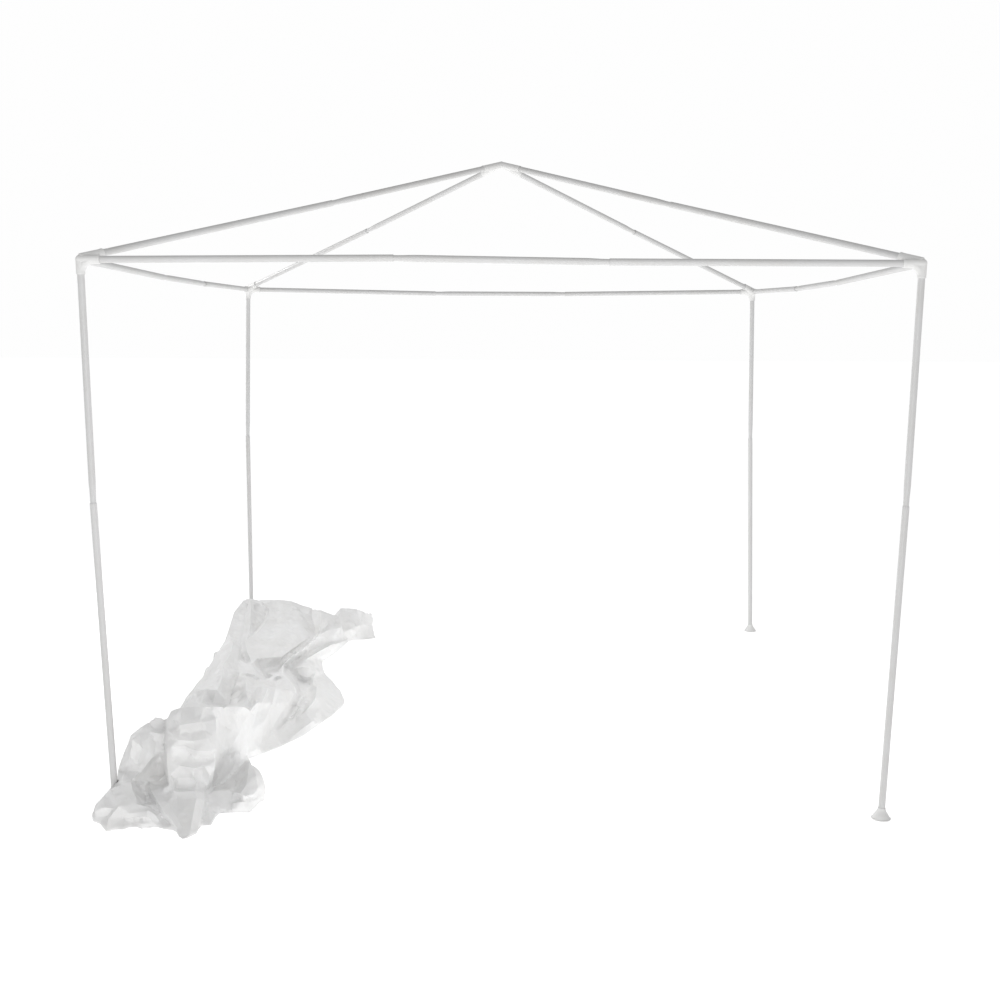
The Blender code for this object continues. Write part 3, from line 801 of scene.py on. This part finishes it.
def knee_point(corner):
    """The joint of a leg's two sections."""
    side_x, side_y = CORNERS[corner]
    drop = (EAVE_Z - LEG_JOINT_Z) / EAVE_Z
    out = FOOT_OUT[corner] * drop + KNEE_OUT[corner]
    return MIDDLE + Vector((side_x * (SPAN / 2 + out), side_y * SPAN / 2, LEG_JOINT_Z))


def foot_point(corner):
    """The middle of a foot's underside."""
    side_x, side_y = CORNERS[corner]
    return MIDDLE + Vector((side_x * (SPAN / 2 + FOOT_OUT[corner]), side_y * SPAN / 2, 0))


def eave_joints(eave):
    """The two joints of one eave rail."""
    first, last, first_rise, last_rise = EAVES[eave]
    start = corner_point(first)
    end = corner_point(last)
    reach = (end - start).normalized() * EAVE_END_LENGTH
    return start + reach + Vector((0, 0, first_rise)), end - reach + Vector((0, 0, last_rise))


def rafter_points(corner):
    """The lower end, the joint and the upper end of a rafter's axis."""
    low = corner_point(corner) + Vector((0, 0, RAFTER_LIFT))
    high = MIDDLE + Vector((0, 0, PEAK_Z))
    return low, low.lerp(high, RAFTER_JOINT_SHARE) - Vector((0, 0, RAFTER_SAG)), high


def make_pole(name, low, joint, high, low_cut, high_cut, material):
    """A pole's lower and upper sections: the upper one's spigot enters the lower one."""
    low_way = (joint - low).normalized()
    high_way = (high - joint).normalized()
    low_end = (low, -low_way, None, low_cut + GAP)
    tube_section(f"{name}_lower", low_end, (joint, low_way, None, 0), material)
    high_end = (high, high_way, None, high_cut + GAP)
    tube_section(f"{name}_upper", (joint, -high_way, -low_way, 0), high_end, material)


def make_leg(corner, material):
    """A leg between its foot and its corner."""
    points = foot_point(corner), knee_point(corner), corner_point(corner)
    make_pole(f"leg_{corner}", *points, FOOT_SOCKET_FLOOR, LEG_SOCKET_FLOOR, material)


def make_eave(eave, material):
    """An eave rail's two end sections, and the middle one with a spigot at each end."""
    first, last = EAVES[eave][:2]
    start = corner_point(first)
    end = corner_point(last)
    first_joint, last_joint = eave_joints(eave)
    first_way = (first_joint - start).normalized()
    middle_way = (last_joint - first_joint).normalized()
    last_way = (end - last_joint).normalized()
    names = ("left", "middle", "right") if eave in ("front", "back") else ("front", "middle", "back")
    cut = SIDE_SOCKET_FLOOR + GAP
    first_end = (start, -first_way, None, cut)
    tube_section(f"eave_{eave}_{names[0]}", first_end, (first_joint, first_way, None, 0), material)
    inner_ends = (first_joint, -middle_way, -first_way, 0), (last_joint, middle_way, last_way, 0)
    tube_section(f"eave_{eave}_{names[1]}", *inner_ends, material)
    last_end = (end, last_way, None, cut)
    tube_section(f"eave_{eave}_{names[2]}", (last_joint, -last_way, None, 0), last_end, material)


def make_rafter(corner, material):
    """A rafter between its corner and the peak."""
    points = rafter_points(corner)
    make_pole(f"rafter_{corner}", *points, SIDE_SOCKET_FLOOR, PEAK_SOCKET_FLOOR, material)


def make_socket(centre, direction, length, radius, lip_radius):
    """A moulded socket, solid so far, with a rounded thicker lip round its mouth."""
    lip = length - LIP_LENGTH
    profile = [
        (0, radius),
        (lip - LIP_ROUND, radius),
        (lip + LIP_ROUND, lip_radius - LIP_ROUND / 4),
        (lip + LIP_ROUND * 2, lip_radius),
        (length - LIP_ROUND, lip_radius),
        (length - LIP_ROUND / 4, lip_radius - LIP_ROUND / 4),
        (length, lip_radius - LIP_ROUND),
    ]
    return rod("socket", centre, direction, profile)


def make_bore(centre, direction, floor, length):
    """What is cut out of a socket, with a small chamfer at the mouth."""
    profile = [
        (floor, SOCKET_BORE_R),
        (length - MOUTH_CHAMFER, SOCKET_BORE_R),
        (length + MOUTH_CHAMFER, SOCKET_BORE_R + MOUTH_CHAMFER * 2),
    ]
    return rod("bore", centre, direction, profile)


def make_fillet(centre, first, second):
    """A quarter bend that rounds the inner corner between two sockets."""
    middle = centre + (first + second) * FILLET_REACH / (1 + first.dot(second))
    start = centre + first * FILLET_REACH - middle
    end = centre + second * FILLET_REACH - middle
    normal = first.cross(second).normalized()
    rings = []
    for step in range(FILLET_STEPS + 1):
        spoke = start.slerp(end, step / FILLET_STEPS).normalized()
        across = spoke.cross(normal)
        point = middle + spoke * start.length
        rings.append(ring(point, across, FILLET_TUBE_R, axes=(spoke, normal)))
    return loft("fillet", rings)


def ball(name, centre, radius):
    """A round solid."""
    bm = bmesh.new()
    bmesh.ops.create_uvsphere(bm, u_segments=TUBE_SIDES, v_segments=TUBE_SIDES // 2, radius=radius)
    bmesh.ops.translate(bm, vec=centre, verts=bm.verts)
    return new_object(name, bm)


def melt_together(body, parts):
    """Run solids that overlap into one moulding with softened inner corners."""
    for part in parts:
        combine(body, part, "UNION")
    remesh = body.modifiers.new("melt", "REMESH")
    remesh.mode = "VOXEL"
    remesh.voxel_size = MOULDING_VOXEL
    smooth = body.modifiers.new("soften", "CORRECTIVE_SMOOTH")
    smooth.iterations = MOULDING_SMOOTHING
    smooth.smooth_type = "SIMPLE"
    smooth.use_only_smooth = True
    apply_modifiers(body)


def make_corner_connector(corner, material):
    """The four-way elbow that holds a leg, two eave rails and a rafter."""
    centre = corner_point(corner)
    leg_way = (knee_point(corner) - centre).normalized()
    low, joint, _ = rafter_points(corner)
    rafter_way = (joint - low).normalized()
    eave_ways = []
    for eave, (first, last, _, _) in EAVES.items():
        if corner in (first, last):
            joint = eave_joints(eave)[0 if corner == first else 1]
            eave_ways.append((joint - centre).normalized())
    ways = [(centre, leg_way, LEG_SOCKET, LEG_SOCKET_FLOOR, SOCKET_R)]
    for way in eave_ways:
        ways.append((centre, way, EAVE_SOCKET, SIDE_SOCKET_FLOOR, LIP_R))
    ways.append((low, rafter_way, RAFTER_SOCKET, SIDE_SOCKET_FLOOR, LIP_R))
    node = f"corner_connector_{corner}"
    body = ball(f"{node}_moulding", centre, HUB_R)
    parts = []
    for start, way, length, _, lip_radius in ways:
        parts.append(make_socket(start, way, length, SOCKET_R, lip_radius))
    for first, second in combinations([leg_way, *eave_ways], 2):
        parts.append(make_fillet(centre, first, second))
    melt_together(body, parts)
    for start, way, length, floor, _ in ways:
        combine(body, make_bore(start, way, floor, length), "DIFFERENCE")
    dress(body, material, node)


def make_peak_connector(material):
    """The four-way connector that holds the rafters together at the top."""
    peak = MIDDLE + Vector((0, 0, PEAK_Z))
    body = ball("peak_connector_moulding", peak, PEAK_HUB_R)
    ways = []
    for corner in CORNERS:
        _, joint, high = rafter_points(corner)
        ways.append((joint - high).normalized())
    sockets = [make_socket(peak, way, PEAK_SOCKET, PEAK_SOCKET_R, PEAK_LIP_R) for way in ways]
    melt_together(body, sockets)
    for way in ways:
        combine(body, make_bore(peak, way, PEAK_SOCKET_FLOOR, PEAK_SOCKET), "DIFFERENCE")
    dress(body, material, "peak_connector")


def foot_radius(share):
    """The bell shape of a foot's socket: its radius at a share of its height."""
    return FOOT_NECK_R + (FOOT_FLARE_R - FOOT_NECK_R) * (1 + cos(pi * share)) / 2


def make_foot(corner, material):
    """A flat round foot with a bell-shaped socket, which leans with its leg."""
    base = foot_point(corner)
    up = (knee_point(corner) - base).normalized()
    level = Vector((0, 0, 1))
    plate = [
        (0, FOOT_R - FOOT_ROUND),
        (FOOT_ROUND / 4, FOOT_R - FOOT_ROUND / 4),
        (FOOT_ROUND, FOOT_R),
        (FOOT_PLATE - FOOT_ROUND, FOOT_R),
        (FOOT_PLATE - FOOT_ROUND / 4, FOOT_R - FOOT_ROUND / 4),
        (FOOT_PLATE, FOOT_R - FOOT_ROUND),
        (FOOT_PLATE, FOOT_FLARE_R + FOOT_ROUND / 2),
    ]
    rings = [ring(base + level * rise, level, radius, FOOT_SIDES) for rise, radius in plate]
    for step in range(FOOT_FIRST_STEP, FOOT_STEPS):
        share = step / FOOT_STEPS
        way = level.slerp(up, share)
        rings.append(ring(base + way * FOOT_HEIGHT * share, way, foot_radius(share), FOOT_SIDES))
    rings.append(ring(base + up * (FOOT_HEIGHT - FOOT_ROUND / 4), up, FOOT_NECK_R, FOOT_SIDES))
    rings.append(ring(base + up * FOOT_HEIGHT, up, FOOT_NECK_R - FOOT_ROUND / 4, FOOT_SIDES))
    node = f"foot_{corner}"
    body = loft(f"{node}_moulding", rings)
    combine(body, make_bore(base, up, FOOT_SOCKET_FLOOR, FOOT_HEIGHT), "DIFFERENCE")
    dress(body, material, node)


def make_frame():
    """Every tube, connector and foot."""
    steel = grained_finish("painted_steel")
    plastic = grained_finish("white_plastic")
    for corner in CORNERS:
        make_leg(corner, steel)
        make_rafter(corner, steel)
        make_corner_connector(corner, plastic)
        make_foot(corner, plastic)
    for eave in EAVES:
        make_eave(eave, steel)
    make_peak_connector(plastic)


def seen(across, down, height):
    """The world point at a height over the floor that the camera sees at a place in the photograph."""
    right, up, forward = camera_axes()
    middle = PHOTO_SIZE / 2
    ray = forward + right * (across - middle) / FOCAL_PIXELS + up * (middle - down) / FOCAL_PIXELS
    return CAMERA_PLACE + ray * ((height - CAMERA_PLACE.z) / ray.z)


def is_inside(spot, outline):
    """Whether a flat point lies inside a closed outline."""
    inside = False
    for first, second in zip(outline, outline[1:] + outline[:1]):
        if (first.y > spot.y) == (second.y > spot.y):
            continue
        crossing = first.x + (spot.y - first.y) * (second.x - first.x) / (second.y - first.y)
        if spot.x < crossing:
            inside = not inside
    return inside


def visible_folds():
    """The visible side as facets between its folds, and the vertices along its crest."""
    spots = []
    heights = []
    edges = []

    def place(point):
        spot = Vector((point[0], -point[1]))
        for index, other in enumerate(spots):
            if max(abs(other.x - spot.x), abs(other.y - spot.y)) < SAME_PIXEL:
                return index
        spots.append(spot)
        heights.append(point[2] / 1000)
        return len(spots) - 1

    outline = [place(point) for point in COVER_RIM + COVER_CREST]
    edges += zip(outline, outline[1:] + outline[:1])
    for fold in COVER_FOLDS.values():
        line = [place(point) for point in fold]
        edges += [pair for pair in zip(line, line[1:]) if pair[0] != pair[1]]
    flat, _, faces, sources, _, _ = delaunay_2d_cdt(spots, edges, [], 1, SAME_SPOT)
    bm = bmesh.new()
    corners = []
    for spot, source in zip(flat, sources):
        if source:
            height = heights[source[0]]
        else:
            near = sorted(range(len(spots)), key=lambda index: (spots[index] - spot).length)[:3]
            height = sum(heights[index] for index in near) / len(near)
        corners.append(bm.verts.new(seen(spot.x, -spot.y, height)))
    edge_spots = [spots[index] for index in outline]
    for face in faces:
        centre = sum((flat[index] for index in face), Vector((0, 0))) / len(face)
        if is_inside(centre, edge_spots):
            bm.faces.new([corners[index] for index in face])
    crest = outline[len(COVER_RIM) - 1:] + outline[:1]
    return bm, [corners[index] for index in crest]


def shares_along(line):
    """How far along a line of vertices each one lies, from 0 to 1."""
    reach = [0]
    for first, second in zip(line, line[1:]):
        reach.append(reach[-1] + (second.co - first.co).length)
    return [far / reach[-1] for far in reach]


def bridge(bm, first, second):
    """A strip of triangles between two lines of vertices."""
    past_end = 2
    first_shares = shares_along(first) + [past_end]
    second_shares = shares_along(second) + [past_end]
    i = 0
    j = 0
    while i < len(first) - 1 or j < len(second) - 1:
        if first_shares[i + 1] <= second_shares[j + 1]:
            corners = (first[i], first[i + 1], second[j])
            i += 1
        else:
            corners = (first[i], second[j + 1], second[j])
            j += 1
        if len(set(corners)) == 3:
            bm.faces.new(corners)


def point_along(line, shares, share):
    """The point at a share of a line's length."""
    index = max(1, next(place for place, far in enumerate(shares) if far >= share - ROUNDING))
    step = (share - shares[index - 1]) / (shares[index] - shares[index - 1])
    return line[index - 1].co.lerp(line[index].co, step)


def pleats(bm, crest, back):
    """The side that doesn't show, in pleats between its crest and its edge on the floor: each one
    lies a little in or out of the straight line. The lines that the pleats follow."""
    chance = random.Random(PLEAT_SEED)
    crest_shares = shares_along(crest)
    back_shares = shares_along(back)
    middle = []
    lines = []
    for index in range(1, PLEAT_COUNT):
        share = index / PLEAT_COUNT
        high = point_along(crest, crest_shares, share)
        low = point_along(back, back_shares, share)
        along = point_along(back, back_shares, min(share + PLEAT_LOOK, 1)) - low
        out = along.cross(Vector((0, 0, 1))).normalized()
        depth = chance.uniform(*PLEAT_DEPTH) * (PLEAT_OUT_SHARE if index % 2 else -1)
        middle.append(bm.verts.new(high.lerp(low, chance.uniform(*PLEAT_SHARES)) + out * depth))
        lines.append([high, middle[-1].co.copy(), low])
    middle = [crest[0]] + middle + [crest[-1]]
    bridge(bm, crest, middle)
    bridge(bm, middle, back)
    return lines


def cover_block():
    """The cover's outer shape as a closed body that goes on below the floor, and its pleats."""
    bm, crest = visible_folds()
    back = [bm.verts.new(MIDDLE + Vector((x, y, COVER_BACK_Z))) for x, y in COVER_BACK]
    lines = pleats(bm, crest, [crest[0]] + back + [crest[-1]])
    for vertex in [vertex for vertex in bm.verts if not vertex.link_faces]:
        bm.verts.remove(vertex)
    rim = [edge for edge in bm.edges if len(edge.link_faces) == 1]
    wall = bmesh.ops.extrude_edge_only(bm, edges=rim)["geom"]
    for vertex in [part for part in wall if isinstance(part, bmesh.types.BMVert)]:
        vertex.co.z = COVER_CELLAR
    low = [part for part in wall if isinstance(part, bmesh.types.BMEdge) and len(part.link_faces) == 1]
    bmesh.ops.triangle_fill(bm, edges=low, use_beauty=True)
    bmesh.ops.recalc_face_normals(bm, faces=bm.faces)
    facets = BVHTree.FromBMesh(bm)
    block = new_object("roof_cover_sheet", bm)
    remesh = block.modifiers.new("even", "REMESH")
    remesh.mode = "VOXEL"
    remesh.voxel_size = COVER_VOXEL
    apply_modifiers(block)
    for vertex in block.data.vertices:
        vertex.co = facets.find_nearest(vertex.co)[0]
    return block, lines


def fold_tree(lines):
    """The lines of the folds as close points, to find how near a place is to one."""
    places = []
    for line in lines:
        for first, second in zip(line, line[1:]):
            count = 1 + int((second - first).length / FOLD_STEP)
            places += [first.lerp(second, step / count) for step in range(count)]
    tree = KDTree(len(places))
    for index, place in enumerate(places):
        tree.insert(place, index)
    tree.balance()
    return tree


def split_on_folds(bm, on_fold):
    """Split the four-sided faces that a fold crosses from corner to corner along that fold."""
    for face in bm.faces[:]:
        corners = face.verts[:]
        if len(corners) != 4:
            continue
        marks = [bool(on_fold[corner.index]) for corner in corners]
        if marks == [True, False, True, False]:
            bmesh.utils.face_split(face, corners[0], corners[2])
        elif marks == [False, True, False, True]:
            bmesh.utils.face_split(face, corners[1], corners[3])


def soften(points, edges, fixed, keep, rounds):
    """Move each point towards its neighbours' mean, less so near the folds."""
    count = numpy.bincount(edges.ravel(), minlength=len(points))
    share = (SOFTEN_STEP * (1 - keep) * ~fixed)[:, None]
    for _ in range(rounds):
        total = numpy.zeros_like(points)
        numpy.add.at(total, edges[:, 0], points[edges[:, 1]])
        numpy.add.at(total, edges[:, 1], points[edges[:, 0]])
        points = points + share * (total / count[:, None] - points)
    return points


def crease_waves():
    """Shallow sharp folds in several directions: direction, wave length, phase, height and place."""
    chance = random.Random(CREASE_SEED)
    waves = []
    for _ in range(CREASE_COUNT):
        direction = Vector([chance.uniform(-1, 1) for _ in range(3)]).normalized()
        length = chance.uniform(*CREASE_LENGTHS)
        place = Vector([chance.uniform(0, CREASE_PLACES) for _ in range(3)])
        waves.append((direction, length, chance.random(), CREASE_HEIGHT * length, place))
    return waves


def crease_at(point, waves):
    """The height of the shallow folds at a point: ridges that fade in and out."""
    total = 0
    for direction, length, phase, height, place in waves:
        warp = CREASE_WARP * wander.noise(point * CREASE_WARP_SCALE + place)
        ridge = abs((point.dot(direction) / length + phase + warp) % 1 - 0.5) * 2 - 0.5
        fade = wander.noise(point * CREASE_FADE_SCALE + place * 2) + CREASE_FADE
        total += height * ridge * max(0, fade)
    return total


def crumple(sheet, pins):
    """Let the sheet take up its spare length in small folds, held where the large folds lie."""
    bpy.ops.mesh.primitive_plane_add(size=GROUND_SIZE)
    ground = bpy.context.object
    ground.modifiers.new("ground", "COLLISION")
    ground.collision.thickness_outer = GROUND_GAP
    group = sheet.vertex_groups.new(name="held")
    for index, weight in enumerate(pins):
        if weight > HOLD_LEAST:
            group.add([index], weight, "REPLACE")
    cloth = sheet.modifiers.new("cloth", "CLOTH")
    for name, value in CLOTH.items():
        setattr(cloth.settings, name, value)
    cloth.settings.vertex_group_mass = "held"
    cloth.settings.effector_weights.gravity = CLOTH_WEIGHT
    cloth.collision_settings.use_collision = True
    cloth.collision_settings.distance_min = CLOTH_GAP
    cloth.collision_settings.use_self_collision = False
    cloth.point_cache.frame_end = COVER_FRAMES
    for step in range(1, COVER_FRAMES + 1):
        bpy.context.scene.frame_set(step)
    apply_modifiers(sheet)
    sheet.vertex_groups.clear()
    bpy.data.objects.remove(ground)


def read_parts(parts, name, kind, width):
    """A property of a mesh's vertices or edges, as rows of numbers."""
    values = numpy.empty(len(parts) * width, dtype=kind)
    parts.foreach_get(name, values)
    return values.reshape(-1, width)


def set_points(mesh, points):
    """Move a mesh's vertices."""
    mesh.vertices.foreach_set("co", points.ravel())
    mesh.update()


def make_cover_shell():
    """The visible sheet: its large folds, sharp shallow ones between them, then small ones."""
    sheet, lines = cover_block()
    bm = bmesh.new()
    bm.from_mesh(sheet.data)
    everything = bm.verts[:] + bm.edges[:] + bm.faces[:]
    floor_cut = {"plane_co": (0, 0, COVER_FLOOR_CUT), "plane_no": (0, 0, 1), "clear_inner": True}
    bmesh.ops.bisect_plane(bm, geom=everything, dist=CUT_REACH, **floor_cut)
    bm.verts.index_update()
    fixed = numpy.array([vertex.is_boundary for vertex in bm.verts])
    folds = []
    for fold in [COVER_CREST, *COVER_FOLDS.values()]:
        folds.append([seen(across, down, height / 1000) for across, down, height in fold])
    tree = fold_tree(folds)
    bare = numpy.array([tree.find(vertex.co)[2] for vertex in bm.verts])
    tree = fold_tree(folds + lines)
    nearest = [tree.find(vertex.co) for vertex in bm.verts]
    away = numpy.array([distance for _, _, distance in nearest])
    on_fold = (away < FOLD_SNAP) & ~fixed
    split_on_folds(bm, on_fold)
    bm.to_mesh(sheet.data)
    bm.free()
    mesh = sheet.data
    points = read_parts(mesh.vertices, "co", float, 3)
    edges = read_parts(mesh.edges, "vertices", int, 2)
    for index in numpy.flatnonzero(on_fold):
        points[index] = nearest[index][0]
    keep = FOLD_KEEP * numpy.clip(1 - away / FOLD_REACH, 0, 1)
    points = soften(points, edges, fixed | on_fold, keep, SOFTEN_ROUNDS)
    set_points(mesh, points)
    waves = crease_waves()
    floor_start, floor_reach = CREASE_FROM_FLOOR
    fade = numpy.clip(away / CREASE_FROM_FOLD, 0, 1)
    fade = fade * numpy.clip((points[:, 2] - floor_start) / floor_reach, 0, 1)
    fade *= 1 + (CREASE_BARE_SHARE - 1) * numpy.interp(bare, CREASE_BARE, (0, 1))
    normals = [vertex.normal.copy() for vertex in mesh.vertices]
    for index in numpy.flatnonzero((fade > 0) & ~fixed):
        point = Vector(points[index])
        points[index] += normals[index] * (crease_at(point, waves) - CREASE_SINK) * fade[index]
    set_points(mesh, points)
    hold = HOLD_STRENGTH * numpy.clip(1 - away / HOLD_REACH, 0, 1)
    crumple(sheet, numpy.where(fixed, 1, hold))
    return sheet


def rim_loop(bm):
    """The vertices round the sheet's edge, in order."""
    loop = [next(vertex for vertex in bm.verts if vertex.is_boundary)]
    edge = None
    while True:
        edge = next(other for other in loop[-1].link_edges if other.is_boundary and other is not edge)
        vertex = edge.other_vert(loop[-1])
        if vertex is loop[0]:
            return loop
        loop.append(vertex)


def room_inside(bm):
    """How high the space under the shell is, by place on the floor, less the folds' reach."""
    shell = BVHTree.FromBMesh(bm)
    low = Vector((min(vertex.co.x for vertex in bm.verts), min(vertex.co.y for vertex in bm.verts)))
    high = Vector((max(vertex.co.x for vertex in bm.verts), max(vertex.co.y for vertex in bm.verts)))
    size = [int((high[axis] - low[axis]) / ROOM_CELL) + 2 for axis in (0, 1)]
    room = numpy.zeros(size)
    up = Vector((0, 0, 1))
    for i in range(size[0]):
        for j in range(size[1]):
            start = Vector((low.x + i * ROOM_CELL, low.y + j * ROOM_CELL, 0))
            hit = shell.ray_cast(start, up)[0]
            room[i, j] = hit.z if hit else 0
    for _ in range(ROOM_MARGIN_CELLS):
        edged = numpy.pad(room, 1)
        across = numpy.minimum(edged[2:, 1:-1], edged[:-2, 1:-1])
        along = numpy.minimum(edged[1:-1, 2:], edged[1:-1, :-2])
        room = numpy.minimum.reduce([room, across, along])

    def height(spot):
        i = int((spot.x - low.x) / ROOM_CELL + 0.5)
        j = int((spot.y - low.y) / ROOM_CELL + 0.5)
        if 0 <= i < size[0] and 0 <= j < size[1]:
            return room[i, j]
        return 0

    return height


def nearest_on_line(spot, line):
    """The nearest place to a flat point on a line of points."""
    best = None
    for first, second in zip(line, line[1:]):
        place, share = intersect_point_line(spot, first, second)
        place = first.lerp(second, min(max(share, 0), 1))
        if best is None or (place - spot).length < (best - spot).length:
            best = place
    return best


def tuck_under(bm):
    """The rest of the sheet, folded under: from the edge on the floor it runs back and forth
    between the heap's rim and the heap's middle, each time lower."""
    rim = rim_loop(bm)
    height = room_inside(bm)
    middle_line = [MIDDLE.xy + Vector(point) for point in COVER_MIDDLE_LINE]
    count = len(rim) // RIM_STEP
    starts = [rim[index * RIM_STEP].co.xy for index in range(count)]
    aims = [nearest_on_line(spot, middle_line) for spot in starts]
    places = list(starts)
    above = None
    for start_share, end_share, depth in COVER_PASSES:
        for step in range(PASS_STEPS):
            share = start_share + (end_share - start_share) * step / (PASS_STEPS - 1)
            loop = []
            for index in range(count):
                spot = starts[index].lerp(aims[index], share)
                if height(spot) > 0 or share < EDGE_SHARE:
                    places[index] = spot
                room = height(places[index])
                loop.append(bm.verts.new((*places[index], max(FLOOR_LAYER, depth * room))))
            if above is None:
                firsts = range(0, count * RIM_STEP, RIM_STEP)
                groups = [rim[first:first + RIM_STEP + 1] for first in firsts]
                groups[-1] = rim[firsts[-1]:] + rim[:1]
            else:
                groups = [[above[index], above[(index + 1) % count]] for index in range(count)]
            for index, group in enumerate(groups):
                bm.faces.new([*group, loop[(index + 1) % count], loop[index]])
            above = loop


def clear_round(bm, start, end, radius, top):
    """Open the sheet round a post: no face within a radius of its axis and below a height."""
    axis = end - start

    def offset(point):
        return point - start - axis * ((point - start).dot(axis) / axis.length_squared)

    low = [vertex for vertex in bm.verts if vertex.co.z < top]
    gone = [vertex for vertex in low if offset(vertex.co).length < radius]
    bmesh.ops.delete(bm, geom=gone, context="VERTS")
    for vertex in [vertex for vertex in bm.verts if vertex.is_boundary and vertex.co.z < top]:
        away = offset(vertex.co)
        if away.length < radius + RIM_TRIM:
            vertex.co += away.normalized() * (radius - away.length)


def wrap_cover_uv(bm):
    """Lay the weave on the sheet: each face takes the two axes that it faces least, in metres."""
    layer = bm.loops.layers.uv.new("weave")
    for face in bm.faces:
        normal = [abs(part) for part in face.normal]
        facing = normal.index(max(normal))
        first, second = [axis for axis in (0, 1, 2) if axis != facing]
        for corner in face.loops:
            corner[layer].uv = (corner.vert.co[first], corner.vert.co[second])


def cover_material():
    """Woven polyethylene with a laminated face: flat tapes over and under, fine sharp creases that handling
    pressed into it, a soft uneven sheen and a little dust in patches."""
    material, tree, shader, place = plain_finish("cover_sheet")
    feed(tree, shader, COVER_SHADER)
    uv = add_node(tree, "UVMap", uv_map="weave").outputs["UV"]
    tapes = []
    for direction in ("X", "Y"):
        wave = add_node(tree, "TexWave", {"Vector": uv, "Scale": WEAVE_SCALE}, bands_direction=direction)
        tapes.append(wave.outputs["Fac"])
    relief = bump(tree, arithmetic(tree, "MULTIPLY", *tapes), *WEAVE_RELIEF)
    for scale, strength, depth in CREASE_PRINTS:
        bend = noise(tree, place, scale * PRINT_BEND_SCALE, PRINT_BEND_DETAIL)["Color"]
        shift = add_node(tree, "Mix", {"Factor": PRINT_BEND, 4: place, 5: bend}, data_type="VECTOR")
        inputs = {"Vector": shift.outputs[1], "Scale": scale}
        cells = add_node(tree, "TexVoronoi", inputs, feature="DISTANCE_TO_EDGE")
        height = ramp(tree, cells.outputs["Distance"], 0, PRINT_WIDTH, 0, 1)
        relief = bump(tree, height, strength, depth, Normal=relief)
    feed(tree, shader, {"Normal": relief})
    return material


def make_cover():
    """The roof cover as it fell: a sheet in a heap, with the rest of it folded under."""
    sheet = make_cover_shell()
    bm = bmesh.new()
    bm.from_mesh(sheet.data)
    tuck_under(bm)
    foot = foot_point("front_left")
    clear_round(bm, foot, knee_point("front_left"), LEG_CLEAR_R, LEG_CLEAR_Z)
    clear_round(bm, foot, foot + Vector((0, 0, 1)), FOOT_CLEAR_R, FOOT_CLEAR_Z)
    bmesh.ops.recalc_face_normals(bm, faces=bm.faces)
    wrap_cover_uv(bm)
    bm.to_mesh(sheet.data)
    bm.free()
    sheet.data.materials.clear()
    sheet.data.materials.append(cover_material())
    sheet.data.shade_smooth()
    sheet.data.set_sharp_from_angle(angle=COVER_SHARP_ANGLE)
    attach(sheet, "root")
    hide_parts("roof_cover")


make_camera()
make_studio()
make_frame()
make_cover()
